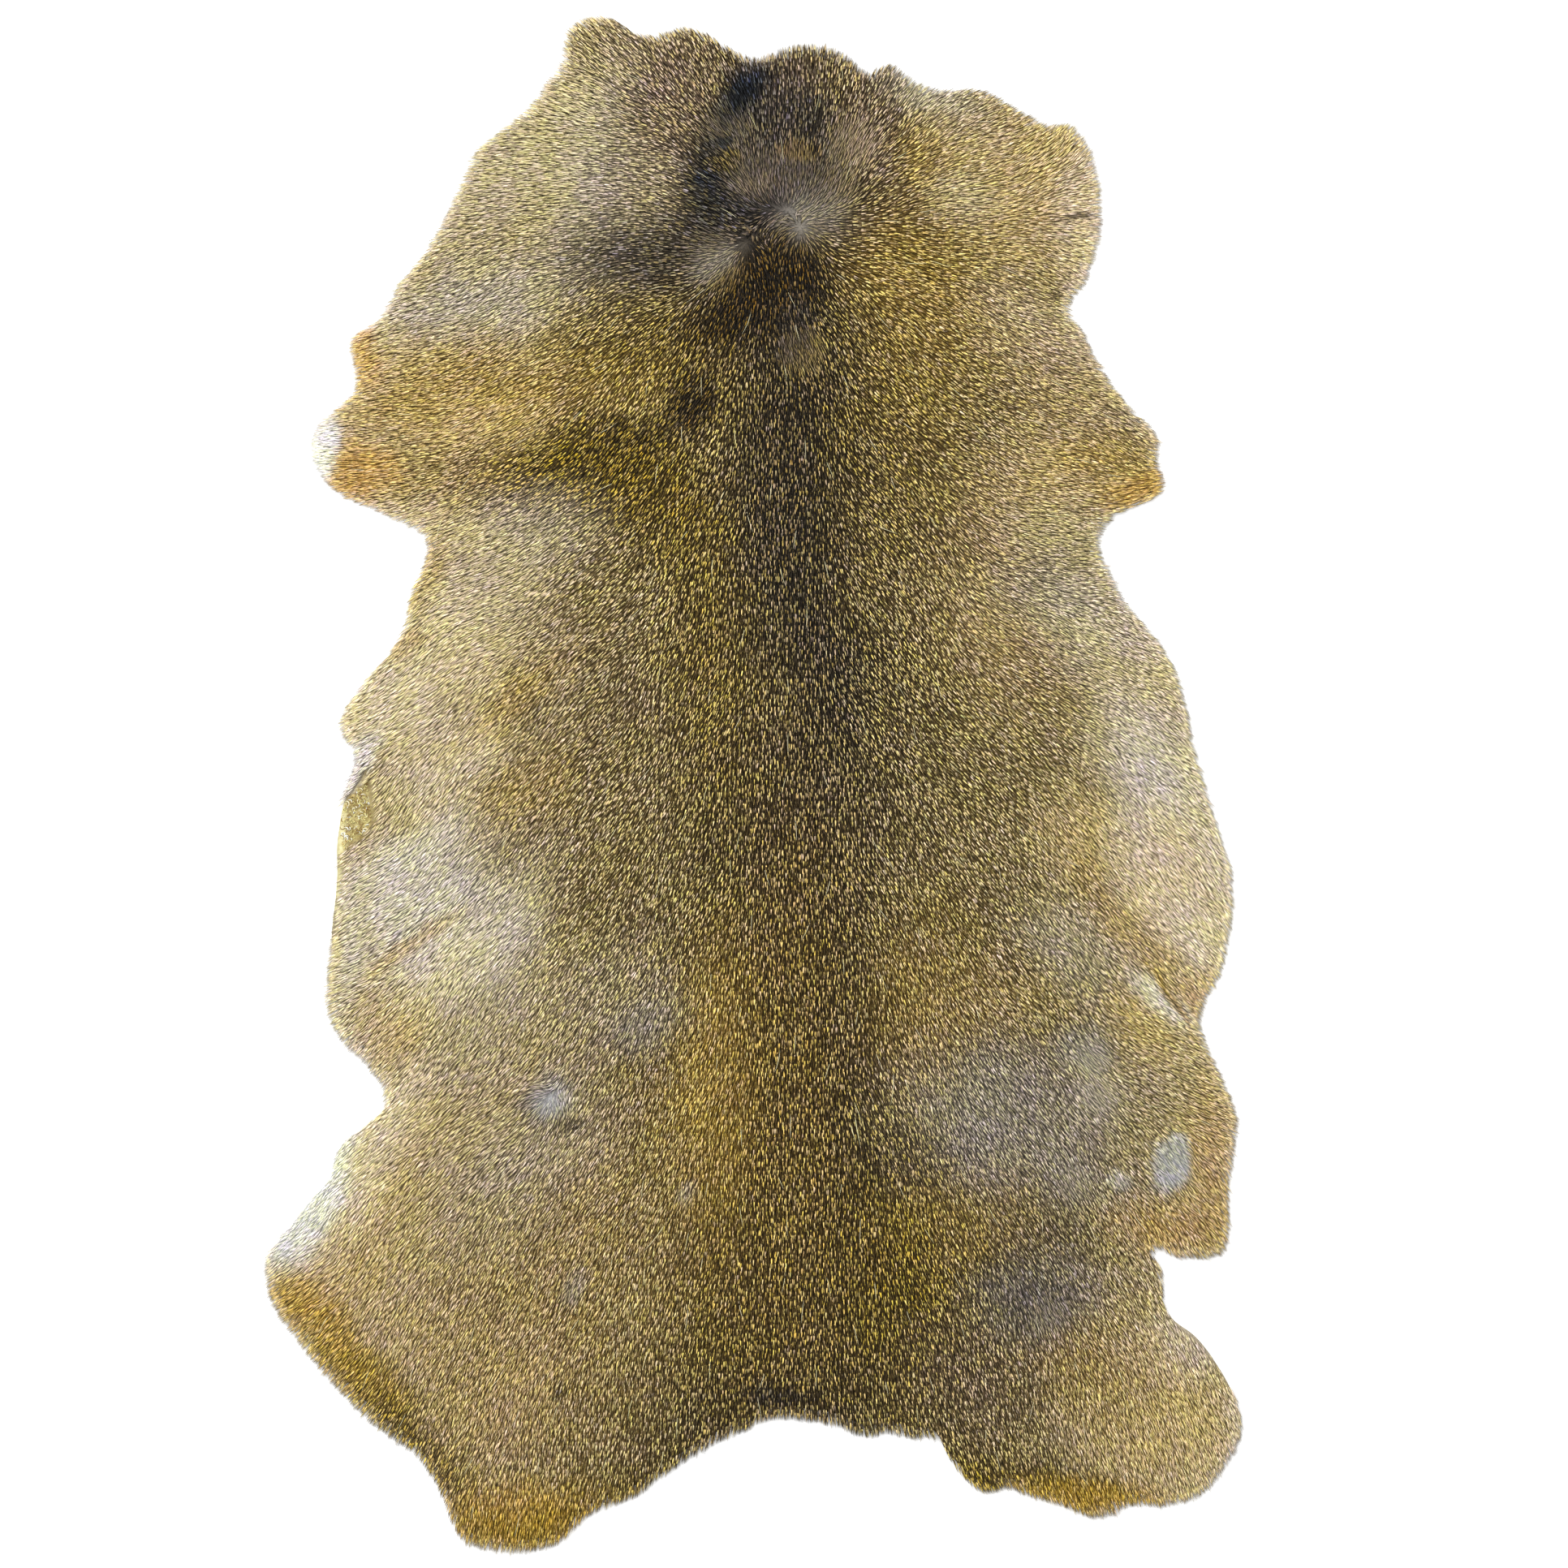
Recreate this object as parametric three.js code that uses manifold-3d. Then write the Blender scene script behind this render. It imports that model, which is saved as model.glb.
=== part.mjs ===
// A deerhide rug: one tanned skin with its hair on, lying flat with the hair up.
// The neck edge is at +Y, the tail edge at -Y, and the flesh side lies on the floor at z = 0.
// The solid is the skin with its coat of short hair: it follows the cut edge, with locks of hair
// along the rim, and its top has the coat's lumps, the folded lip, the bare patch and the creases.
import * as THREE from "three";
import { mergeVertices } from "three/addons/utils/BufferGeometryUtils.js";
import Module from "manifold-3d";

// Driving dimensions, in millimetres
const HIDE_LENGTH = 1134; // neck edge to the lowest hind-leg lobe
const SKIN_THICKNESS = 1.5; // tanned skin
const COAT_DEPTH = 7; // hair lying over the skin
const RIM_HEIGHT = 3.2; // where the coat thins out at the cut edge
const SHOULDER_WIDTH = 10; // how far in from the edge the coat reaches its peak
const PEAK_HEIGHT = 14; // above the highest lump, where the rim's slope would end
const LOCK_PITCH = 12; // mean spacing of the locks along the rim
const RELIEF_STEP = 20; // spacing of the points that carry the coat's lumps
const MARGIN = 20; // how far the relief block reaches past the edge
const FLOOR_CUT = 5; // how far the relief block reaches below the floor

// The edge was read by eye from a straight-down photo, in its pixels, with the neck up.
const NECK_PIXEL = 22;
const HIND_PIXEL = 1912;
const MIDDLE_PIXEL = { across: 927, down: 967 };
const MM_PER_PIXEL = HIDE_LENGTH / (HIND_PIXEL - NECK_PIXEL);

// The cut edge, clockwise from the neck's left corner, one entry for each stretch.
// locks: how far the rim's locks stand out, in mm. lean: where their tips point, in degrees from +X.
// at: pixel across, pixel down.
const EDGE = [
  {
    name: "neck edge, left half",
    locks: 2.2,
    lean: 115,
    at: [
      [697, 35], [716, 23], [757, 23], [788, 41], [812, 40], [845, 33],
      [873, 42], [910, 64], [940, 70], [972, 56], [1017, 56], [1050, 72],
    ],
  },
  {
    name: "neck edge, right half",
    locks: 1.8,
    lean: 60,
    at: [
      [1066, 91], [1080, 81], [1103, 78], [1122, 98], [1178, 110], [1199, 107],
      [1255, 134], [1288, 153], [1313, 151], [1332, 165],
    ],
  },
  {
    name: "right side of the neck",
    locks: 2.6,
    lean: 0,
    at: [
      [1346, 190], [1355, 230], [1356, 283], [1345, 329], [1330, 360],
      [1316, 375], [1317, 385], [1330, 400], [1352, 443], [1389, 498],
    ],
  },
  {
    name: "right shoulder",
    locks: 2,
    lean: -20,
    at: [
      [1427, 537], [1428, 556], [1423, 564], [1436, 590], [1430, 609],
      [1380, 634], [1360, 652], [1353, 672], [1366, 699], [1382, 734],
    ],
  },
  {
    name: "right flank",
    locks: 1.4,
    lean: -40,
    at: [
      [1418, 777], [1440, 809], [1460, 860], [1470, 912], [1492, 991],
      [1518, 1078], [1519, 1122], [1504, 1201], [1486, 1231], [1479, 1259],
      [1487, 1284], [1510, 1338], [1525, 1378], [1519, 1430], [1514, 1470],
      [1515, 1512], [1509, 1543],
    ],
  },
  {
    name: "slit and outside of the right hind lobe",
    locks: 1.2,
    lean: -55,
    at: [
      [1497, 1549], [1445, 1549], [1416, 1535], [1429, 1553], [1436, 1607],
      [1448, 1627], [1470, 1641], [1504, 1686], [1525, 1728], [1528, 1770],
    ],
  },
  {
    name: "end of the right hind lobe",
    locks: 2.4,
    lean: -75,
    at: [
      [1502, 1817], [1485, 1837], [1460, 1850], [1420, 1856], [1388, 1855],
      [1370, 1868], [1340, 1869], [1311, 1857], [1280, 1847], [1255, 1839],
      [1243, 1831], [1213, 1840], [1185, 1819], [1158, 1783],
    ],
  },
  {
    name: "tail edge",
    locks: 2.6,
    lean: -90,
    at: [
      [1150, 1770], [1122, 1774], [1098, 1765], [1064, 1772], [1040, 1760],
      [1012, 1752], [935, 1751], [923, 1761], [900, 1769], [852, 1795],
    ],
  },
  {
    name: "end of the left hind lobe",
    locks: 2.6,
    lean: -105,
    at: [
      [800, 1831], [780, 1846], [740, 1859], [718, 1873], [698, 1893],
      [672, 1907], [637, 1912], [575, 1902], [558, 1882], [541, 1838],
    ],
  },
  {
    name: "outside of the left hind lobe",
    locks: 2.6,
    lean: -135,
    at: [
      [506, 1787], [480, 1772], [415, 1712], [364, 1650], [334, 1608],
      [327, 1575], [325, 1548],
    ],
  },
  {
    name: "top of the left hind lobe",
    locks: 1,
    lean: -145,
    at: [
      [380, 1479], [404, 1446], [420, 1408],
    ],
  },
  {
    name: "left flank",
    locks: 1.4,
    lean: -150,
    at: [
      [455, 1380], [473, 1352], [452, 1315], [419, 1281], [402, 1249],
      [402, 1200], [415, 1080], [414, 1010], [437, 930], [421, 910],
      [416, 890], [445, 842], [480, 800], [497, 768], [504, 732], [525, 679],
    ],
  },
  {
    name: "left shoulder",
    locks: 2,
    lean: -165,
    at: [
      [519, 659], [475, 636], [411, 604], [384, 567], [382, 540], [392, 521],
      [436, 478], [431, 418], [468, 389], [488, 353], [524, 307],
    ],
  },
  {
    name: "left side of the neck",
    locks: 2.4,
    lean: 175,
    at: [
      [573, 213], [583, 189], [658, 124], [672, 99], [690, 80], [694, 48],
    ],
  },
];

// Where the hide or its coat stands higher or lower than the rest, each a soft oval.
// at: pixel across, pixel down of its middle. long, wide: its half sizes in mm.
// heading: direction of its long way, in degrees from +X. rise: height at its middle, in mm.
const SWELLS = [
  { name: "back ridge", at: [978, 1060], long: 420, wide: 42, heading: 90, rise: 1.1 },
  { name: "rump", at: [985, 1500], long: 130, wide: 110, heading: 0, rise: 0.9 },
  { name: "withers", at: [960, 420], long: 90, wide: 60, heading: 90, rise: 0.8 },
  { name: "neck whorls", at: [960, 290], long: 40, wide: 22, heading: 10, rise: 0.9 },
  { name: "left neck sag", at: [690, 210], long: 90, wide: 60, heading: 60, rise: -0.7 },
  { name: "right neck sag", at: [1250, 250], long: 90, wide: 60, heading: 110, rise: -0.6 },
  { name: "left leg pit", at: [590, 690], long: 70, wide: 22, heading: -20, rise: 1.6 },
  { name: "right leg pit", at: [1290, 690], long: 70, wide: 22, heading: 200, rise: 1.4 },
  { name: "left shoulder tip", at: [430, 560], long: 40, wide: 30, heading: 10, rise: -0.9 },
  { name: "right shoulder tip", at: [1400, 585], long: 30, wide: 26, heading: 0, rise: -0.8 },
  { name: "folded lip", at: [437, 948], long: 22, wide: 10, heading: 50, rise: 2.2 },
  { name: "bare patch", at: [438, 1012], long: 26, wide: 17, heading: 80, rise: -5 },
  { name: "bare edge strip", at: [417, 1095], long: 34, wide: 9, heading: 92, rise: -3 },
  { name: "right flank crease", at: [1428, 1198], long: 62, wide: 13, heading: -46, rise: 2.4 },
  { name: "trough by the crease", at: [1398, 1232], long: 56, wide: 14, heading: -46, rise: -1.3 },
  { name: "left flank swell", at: [500, 1190], long: 80, wide: 38, heading: 80, rise: 0.9 },
  { name: "left hind pit", at: [540, 1360], long: 70, wide: 24, heading: 12, rise: 1.7 },
  { name: "right hind pit", at: [1360, 1500], long: 60, wide: 24, heading: -30, rise: 1.5 },
  { name: "left hind lobe sag", at: [520, 1640], long: 100, wide: 70, heading: 50, rise: -0.7 },
  { name: "right hind lobe sag", at: [1420, 1740], long: 80, wide: 60, heading: -50, rise: -0.6 },
];

// The coat's own small unevenness: waves across it, each with a length in mm and a height in mm.
const WAVES = [
  { heading: 25, length: 93, height: 0.35, start: 0.4 },
  { heading: 100, length: 131, height: 0.4, start: 2.1 },
  { heading: 155, length: 71, height: 0.28, start: 4.4 },
  { heading: 68, length: 57, height: 0.2, start: 1.3 },
];

const wasm = await Module();
wasm.setup();

// A direction on the floor, from an angle in degrees.
function towards(degrees) {
  const angle = THREE.MathUtils.degToRad(degrees);
  return new THREE.Vector2(Math.cos(angle), Math.sin(angle));
}

// A pixel reading as a place on the floor, in mm.
function placed([across, down]) {
  return new THREE.Vector2(
    (across - MIDDLE_PIXEL.across) * MM_PER_PIXEL,
    (MIDDLE_PIXEL.down - down) * MM_PER_PIXEL,
  );
}

// A repeatable uneven value from 0 to 1 for the lock with this number.
function uneven(number) {
  const wave = Math.sin(number * 12.9898) * 43758.5453;
  return wave - Math.floor(wave);
}

// The smooth edge, and which stretch each of its readings belongs to.
const stretchOf = EDGE.flatMap((stretch) => stretch.at.map(() => stretch));
const edgePoints = EDGE.flatMap((stretch) => stretch.at.map(placed));
const edgeCurve = new THREE.CatmullRomCurve3(
  edgePoints.map((p) => new THREE.Vector3(p.x, p.y, 0)),
  true,
  "centripetal",
);
edgeCurve.arcLengthDivisions = 6000;

// A station on the smooth edge: its place, its outward direction and its stretch.
function stationAt(share) {
  const at = edgeCurve.getPointAt(share);
  const along = edgeCurve.getTangentAt(share);
  const reading = Math.floor(edgeCurve.getUtoTmapping(share) * stretchOf.length);
  return {
    at: new THREE.Vector2(at.x, at.y),
    out: new THREE.Vector2(-along.y, along.x),
    stretch: stretchOf[reading % stretchOf.length],
  };
}

// Valleys and tips in turn along the rim: each tip leans the way the hair lies.
const lockCount = Math.floor(edgeCurve.getLength() / LOCK_PITCH);
const stations = [];
for (let lock = 0; lock < lockCount; lock++) {
  const valley = stationAt(lock / lockCount);
  const tip = stationAt((lock + 0.4 + 0.25 * uneven(lock)) / lockCount);
  const reach = tip.stretch.locks * (0.35 + 0.65 * uneven(lock + 0.5));
  valley.rim = valley.at.clone().addScaledVector(valley.out, -0.35 * valley.stretch.locks);
  tip.rim = tip.at
    .clone()
    .addScaledVector(tip.out, 0.45 * reach)
    .addScaledVector(towards(tip.stretch.lean), 0.35 * reach);
  stations.push(valley, tip);
}

// How far a place is from the smooth edge.
function distanceToEdge(place) {
  let nearest = Infinity;
  stations.forEach((station, i) => {
    const next = stations[(i + 1) % stations.length];
    const side = next.at.clone().sub(station.at);
    const along = place.clone().sub(station.at).dot(side) / side.lengthSq();
    const foot = station.at.clone().addScaledVector(side, THREE.MathUtils.clamp(along, 0, 1));
    nearest = Math.min(nearest, foot.distanceTo(place));
  });
  return nearest;
}

// The place straight in from a station, pulled back where a corner or a neck is too narrow for it.
function insetOf(station) {
  let inset = SHOULDER_WIDTH;
  let place = station.at.clone().addScaledVector(station.out, -inset);
  while (inset > 1 && distanceToEdge(place) < 0.9 * inset) {
    inset -= 0.5;
    place = station.at.clone().addScaledVector(station.out, -inset);
  }
  return place;
}

// The whole hide is set with the middle of its own box over the origin.
const rimBox = new THREE.Box2().setFromPoints(stations.map((station) => station.rim));
const middle = rimBox.getCenter(new THREE.Vector2());
const rim = stations.map((station) => station.rim.clone().sub(middle));
const shoulder = stations.map((station) => insetOf(station).sub(middle));

// Height of the coat's top over a place on the floor, in mm.
function coatTop(x, y) {
  let height = SKIN_THICKNESS + COAT_DEPTH;
  for (const swell of SWELLS) {
    const offset = new THREE.Vector2(x, y).add(middle).sub(placed(swell.at));
    const axis = towards(swell.heading);
    const along = offset.dot(axis) / swell.long;
    const across = offset.cross(axis) / swell.wide;
    height += swell.rise * Math.exp(-along * along - across * across);
  }
  for (const wave of WAVES) {
    const travel = new THREE.Vector2(x, y).dot(towards(wave.heading));
    height += wave.height * Math.sin((2 * Math.PI * travel) / wave.length + wave.start);
  }
  return height;
}

// A closed geometry as a solid that can be joined and cut.
function solidOf(geometry) {
  geometry.deleteAttribute("normal");
  geometry.deleteAttribute("uv");
  const merged = mergeVertices(geometry, 1e-4);
  return new wasm.Manifold(
    new wasm.Mesh({
      numProp: 3,
      vertProperties: merged.attributes.position.array,
      triVerts: new Uint32Array(merged.index.array),
    }),
  );
}

// A solid as a geometry that can be drawn.
function geometryOf(solid) {
  const mesh = solid.getMesh();
  const geometry = new THREE.BufferGeometry();
  geometry.setAttribute("position", new THREE.BufferAttribute(mesh.vertProperties, mesh.numProp));
  geometry.setIndex(new THREE.BufferAttribute(mesh.triVerts, 1));
  geometry.computeVertexNormals();
  return geometry;
}

// The rim: straight up from the floor, then sloping in to where the coat would peak.
function rimSolid() {
  const geometry = new THREE.ExtrudeGeometry(new THREE.Shape(rim), {
    depth: PEAK_HEIGHT,
    steps: 2,
    bevelEnabled: false,
  });
  const nameOf = (x, y) => `${Math.fround(x)} ${Math.fround(y)}`;
  const shoulderOf = new Map(rim.map((place, i) => [nameOf(place.x, place.y), shoulder[i]]));
  const position = geometry.attributes.position;
  for (let i = 0; i < position.count; i++) {
    const level = Math.round((2 * position.getZ(i)) / PEAK_HEIGHT);
    if (level === 1) position.setZ(i, RIM_HEIGHT);
    if (level === 2) {
      const inner = shoulderOf.get(nameOf(position.getX(i), position.getY(i)));
      position.setXY(i, inner.x, inner.y);
    }
  }
  return solidOf(geometry);
}

// The relief: a block over the whole hide whose top carries the coat's lumps.
function reliefSolid() {
  const size = rimBox.getSize(new THREE.Vector2()).addScalar(2 * MARGIN);
  const geometry = new THREE.BoxGeometry(
    size.x,
    size.y,
    2,
    Math.round(size.x / RELIEF_STEP),
    Math.round(size.y / RELIEF_STEP),
    1,
  );
  const position = geometry.attributes.position;
  for (let i = 0; i < position.count; i++) {
    const isTop = position.getZ(i) > 0;
    position.setZ(i, isTop ? coatTop(position.getX(i), position.getY(i)) : -FLOOR_CUT);
  }
  return solidOf(geometry);
}

const hide = new THREE.Mesh(
  geometryOf(rimSolid().intersect(reliefSolid())),
  new THREE.MeshStandardMaterial({ color: 0x8d7a4d, roughness: 0.85, metalness: 0 }),
);
hide.name = "hide";

const rug = new THREE.Group();
rug.name = "deerhide_rug";
rug.add(hide);

export default rug;
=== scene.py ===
"""A deerhide rug lying flat with its hair up: the skin, its coat and its stage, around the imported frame."""

import functools
import itertools
import math
from types import SimpleNamespace

import bmesh
import bpy
import numpy as np
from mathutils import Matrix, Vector
from mathutils.bvhtree import BVHTree


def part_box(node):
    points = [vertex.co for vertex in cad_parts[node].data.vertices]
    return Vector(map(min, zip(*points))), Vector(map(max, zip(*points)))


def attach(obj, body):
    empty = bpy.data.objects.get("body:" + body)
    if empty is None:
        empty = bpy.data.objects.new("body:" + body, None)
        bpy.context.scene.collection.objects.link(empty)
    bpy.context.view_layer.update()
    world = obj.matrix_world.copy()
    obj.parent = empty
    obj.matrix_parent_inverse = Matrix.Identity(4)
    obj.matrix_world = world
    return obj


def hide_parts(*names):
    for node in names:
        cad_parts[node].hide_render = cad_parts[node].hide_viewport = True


bl_info = {
    "name": "Deerhide Rug",
    "version": (1, 0, 0),
    "blender": (4, 5, 0),
    "location": "3D View > Sidebar > Deerhide",
    "description": "Dresses the deerhide rug's frame with its skin and its coat",
    "category": "Object",
}

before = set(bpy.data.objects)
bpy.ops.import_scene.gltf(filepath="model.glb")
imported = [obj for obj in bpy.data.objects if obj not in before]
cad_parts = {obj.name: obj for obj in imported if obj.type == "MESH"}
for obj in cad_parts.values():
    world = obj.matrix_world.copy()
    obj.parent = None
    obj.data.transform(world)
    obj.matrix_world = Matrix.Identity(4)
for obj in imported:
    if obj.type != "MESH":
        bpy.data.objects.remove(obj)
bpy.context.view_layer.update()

MM = 0.001

# The straight-down photo's pixels, which the readings below are in, as places on the floor
M_PER_PIXEL = 0.0006
MIDDLE_PIXEL = (927, 967)
PHOTO_SIDE = 1932

# The rim, read from the frame's solid
RIM_STEP = 2.5 * MM  # between the points of the smoothed rim
RIM_SMOOTHING = 4 * MM  # wide enough to lose the solid's lock teeth
FIELD_STEP = 4 * MM  # between the points of the grids of heights and distances
FIELD_MARGIN = 16 * MM
TYPICAL_TOP = 8.5 * MM  # the coat's top where nothing lifts it
RIM_TOP = 2.6 * MM  # the coat's top where the grid passes the solid
TOP_BLUR = 0.8  # points of the grid by which the coat's heights are softened
FOLD_BLUR = 2.5  # the same for the folds of the skin
FOLD_RISE = 12 * MM  # how far in from the rim a fold has its whole height
MOST_FOLD = 4 * MM  # how far a fold may lift the skin
HAIRLINE = (1, 8.5)  # mm from the rim to the skin, and how many more where the hair points straight out
LIP_CALM = 16 * MM  # how near the lip's cut edge the skin keeps close to the rim

# How the hair lies: pixel across, pixel down, and where its tips point, in degrees from right, upwards
# positive
COMB = [
    # neck, where it runs forward
    (740, 60, 140), (850, 60, 122), (900, 90, 120), (940, 70, 92), (1000, 110, 90), (960, 190, 92),
    (1040, 120, 75), (1100, 140, 55), (1160, 130, 30), (1200, 180, 15), (1280, 200, 30), (1320, 180, 45),
    (1340, 250, 0), (1200, 260, 0), (1100, 220, 25), (610, 230, 184), (700, 200, 180), (700, 110, 165),
    (800, 200, 172), (860, 180, 140), (860, 260, 160), (800, 330, 182), (600, 270, 192), (600, 340, 208),
    (700, 300, 190), (740, 380, 218), (520, 360, 200), (1050, 210, 70), (1060, 300, -5),
    # withers and right shoulder
    (1100, 320, -18), (1200, 400, -30), (1300, 330, -20), (1100, 450, -45), (1250, 450, -28),
    (1000, 450, -72), (1330, 450, -15), (1040, 380, -50), (1100, 600, -50), (1100, 700, -57),
    (962, 320, 268), (974, 345, 270),
    (1200, 560, -32), (1300, 600, -12), (1380, 560, -28), (1400, 610, 12), (1350, 700, -10),
    # left shoulder
    (880, 420, 248), (830, 480, 240), (650, 450, 208), (500, 440, 195), (440, 540, 185), (500, 560, 188),
    (600, 600, 206), (700, 620, 215), (760, 560, 232), (560, 650, 206), (600, 740, 204), (700, 740, 220),
    # back, straight down
    (965, 480, 269), (965, 580, 269), (965, 680, 270), (968, 780, 270), (975, 880, 270), (980, 980, 270),
    (980, 1080, 271), (985, 1180, 270), (985, 1280, 270), (985, 1380, 269), (980, 1480, 269),
    (970, 1580, 269), (965, 1680, 269), (960, 1745, 268), (860, 620, 246), (860, 860, 250),
    (850, 1100, 250), (840, 1340, 252), (850, 1580, 258), (850, 1760, 262), (1090, 860, -60),
    # left flank
    (500, 800, 222), (500, 880, 215), (430, 890, 208), (600, 900, 225), (700, 900, 230), (520, 980, 232),
    (700, 1060, 236), (440, 1100, 212), (600, 1120, 226), (420, 1200, 205), (480, 1260, 226),
    (560, 1250, 236), (700, 1240, 238), (600, 1380, 222),
    # left hind
    (350, 1560, 215), (450, 1500, 235), (450, 1420, 222), (500, 1650, 243), (640, 1600, 245),
    (400, 1680, 226), (620, 1850, 260), (700, 1800, 260), (560, 1780, 248), (720, 1460, 240),
    # right flank
    (1300, 800, -30), (1380, 800, -25), (1450, 900, -35), (1200, 900, -45), (1400, 1000, -45),
    (1500, 1100, -48), (1450, 1200, -45), (1300, 1200, -50), (1100, 1100, -65), (1200, 1060, -54),
    # right hind
    (1450, 1280, -30), (1500, 1350, -28), (1250, 1350, -55), (1110, 1350, -68), (1480, 1450, -50),
    (1300, 1500, -60), (1500, 1700, -65), (1450, 1800, -70), (1300, 1800, -75), (1200, 1800, -70),
    (1050, 1700, -84), (1400, 1580, -60), (1180, 1620, -72),
]
COMB_REACH = 26  # pixels within which one reading rules

# How the locks grow
SWAY = (8, 14 * MM)  # degrees by which the lie of the hair sways, and over what width
STRAY_ANGLE = 4.5  # degrees by which single locks stray from it
ROOT_STRAY = 0.28  # how far a root may stray, as a share of the spacing
FINE_SHORTER = 0.3  # by how much fine hair is shorter
FINE_THINNER = 0.2  # by how much it is thinner
LENGTHS = (0.75, 1.2)  # the range of the locks' lengths, as shares of the typical one
WIDTHS = (0.7, 1.3)  # the same for their widths
SHORTEST_LOCK = 4 * MM  # what is cut shorter by the rim or the lip is left out
BEND = 0.52  # share of a lock's length at which it bends with the coat around it
LOOK_AHEAD = 0.55  # share of its length ahead at which the lie it bends to is read
ONWARD = 1.2  # weight of that lie against the one at its root
LIP_SHORTER = 0.5  # of its length, for a lock that would cross the lip's cut edge
ROOT_SINK = 0.2 * MM  # how deep the roots stand in the skin
LEAST_COAT = 0.6 * MM  # the least depth of the coat over the skin
BEND_HEIGHT = 0.8  # of the bend, as a share of the tip's height over the skin
TILT = 0.22  # how much the locks tilt to one side, as a share of their widths
RIM_TIPS = (0.8, 2.6)  # mm over the floor, for the tips that pass the rim
COAT_OVERHANG = 2.4 * MM  # how far the coat's tips may pass the rim
WISP_OVERHANG = 4.5 * MM  # the same for the wisps
WISP_SPACING = 2.2 * MM  # between their roots
WISP_ROOTS = 12 * MM  # how far in from the rim they may lie
WISP_TIPS = 1 * MM  # how far in their tips may end
WISP_LONGER = 1.1  # times as long as the coat's locks
MOST_LOCKS = 49900  # in one piece, for its number of triangles

# How a tuft's light bands lie side by side in a dash
BAND_MIDDLE = 0.7  # share of a lock's length where its light band shows
TUFT_CELL = 3.0 * MM  # side of the squares that hold one tuft each
TUFT_STRETCH = 1.75  # how many times as long as wide a tuft is
TUFT_TABLE = 512  # squares after which the tufts' chances come again
DASH_HALF_LENGTH = 2.15 * MM
DASH_HALF_WIDTH = 0.91 * MM  # where the whole coat is banded
DASH_WIDTHS = (0.8, 0.4)  # of that width: the least, and how much more from tuft to tuft
DASH_EDGE = 1.5  # how many half widths from the dash's middle its light is gone
EVEN_FROM = 0.8  # share of banded coat above which the dashes give way to single pale locks
EVEN_MOST = 0.65  # how far they do where the whole coat is banded
EVEN_FINE = 0.6  # and how far where the hair is fine
# Half a single lock's band, as a share of its length, and how much more of it in fine hair
EVEN_BAND = (0.36, 0.24)
# How light single locks are, from 0 to 1, how much they differ, and how much less they do in fine hair
EVEN_LIGHT = (0.62, 0.46, 0.2)
EVEN_CALMER = 0.6  # by how much less their tones differ from tuft to tuft
FINE_PALER = 0.1  # how much of the light tone lies between the bands of fine hair
SHORTEST_BAND = 0.3 * MM  # half the length below which a band isn't shown
NO_BAND = 2  # where such a band starts and ends, beyond the tip
TONE_SPREAD = 0.42  # how much the brightness of the bands differs from tuft to tuft
HUE_SPREAD = np.array([-0.15, 0.0, 0.5])  # how much their red, green and blue differ from tuft to tuft
EVENING_CELL = 0.8 * MM  # of the grid on which clumps of light and of dark locks are found
EVENING_REACH = (1.4, 13)  # in its points: what counts as a clump, and what as a patch of the coat's own
EVENING = 0.92  # share of the clumps that is taken out
EVENING_GAIN = 1.25  # how much stronger the rest then is

# Where hair parts from a point: pixel across, pixel down, reach in pixels
WHORLS = [(987, 288, 44), (918, 306, 40), (676, 1352, 24)]
WHORL_STRENGTH = 1.6  # against 1 for the coat around it
WHORL_EYE = 4  # pixels from its point where a whorl has half of that strength

# The coat's colours, as 8-bit screen values: the light band of its hairs, what lies between the
# bands, and the share of the coat that shows them
TONES = {
    "back": ((220, 200, 150), (36, 29, 16), 0.66),
    "olive": ((249, 231, 167), (73, 58, 25), 0.8),
    "side": ((246, 230, 180), (100, 84, 46), 0.82),
    "flank": ((242, 231, 200), (166, 150, 110), 1.0),
    "hind": ((244, 224, 168), (124, 101, 54), 0.88),
    "low back": ((246, 216, 132), (72, 55, 15), 0.77),
    "straw": ((240, 232, 202), (158, 147, 114), 1.0),
    "straw gold": ((246, 230, 180), (178, 154, 98), 1.0),
    "pink straw": ((248, 239, 218), (204, 188, 156), 1.0),
    "ash": ((243, 242, 238), (195, 190, 180), 1.0),
    "cream": ((250, 244, 226), (212, 202, 172), 1.0),
    "white": ((250, 253, 251), (234, 238, 236), 1.0),
    "tan": ((244, 222, 176), (156, 132, 86), 0.92),
    "gold": ((246, 220, 138), (132, 106, 38), 0.86),
    "dark gold": ((236, 208, 90), (68, 53, 5), 0.76),
    "bright gold": ((236, 204, 102), (146, 118, 32), 0.86),
    "orange gold": ((242, 209, 138), (169, 134, 66), 0.92),
    "rust": ((206, 178, 122), (46, 34, 18), 0.7),
    "pink brown": ((226, 206, 176), (86, 71, 54), 0.78),
    "taupe": ((146, 134, 124), (40, 35, 31), 0.72),
    "lilac grey": ((214, 209, 204), (124, 118, 112), 0.88),
    "pale grey": ((236, 232, 222), (156, 149, 134), 0.9),
    "blue grey": ((222, 225, 228), (176, 177, 180), 1.0),
    "brown black": ((140, 112, 50), (24, 17, 5), 0.6),
    "blue black": ((62, 68, 74), (12, 15, 20), 0.6),
}

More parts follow.
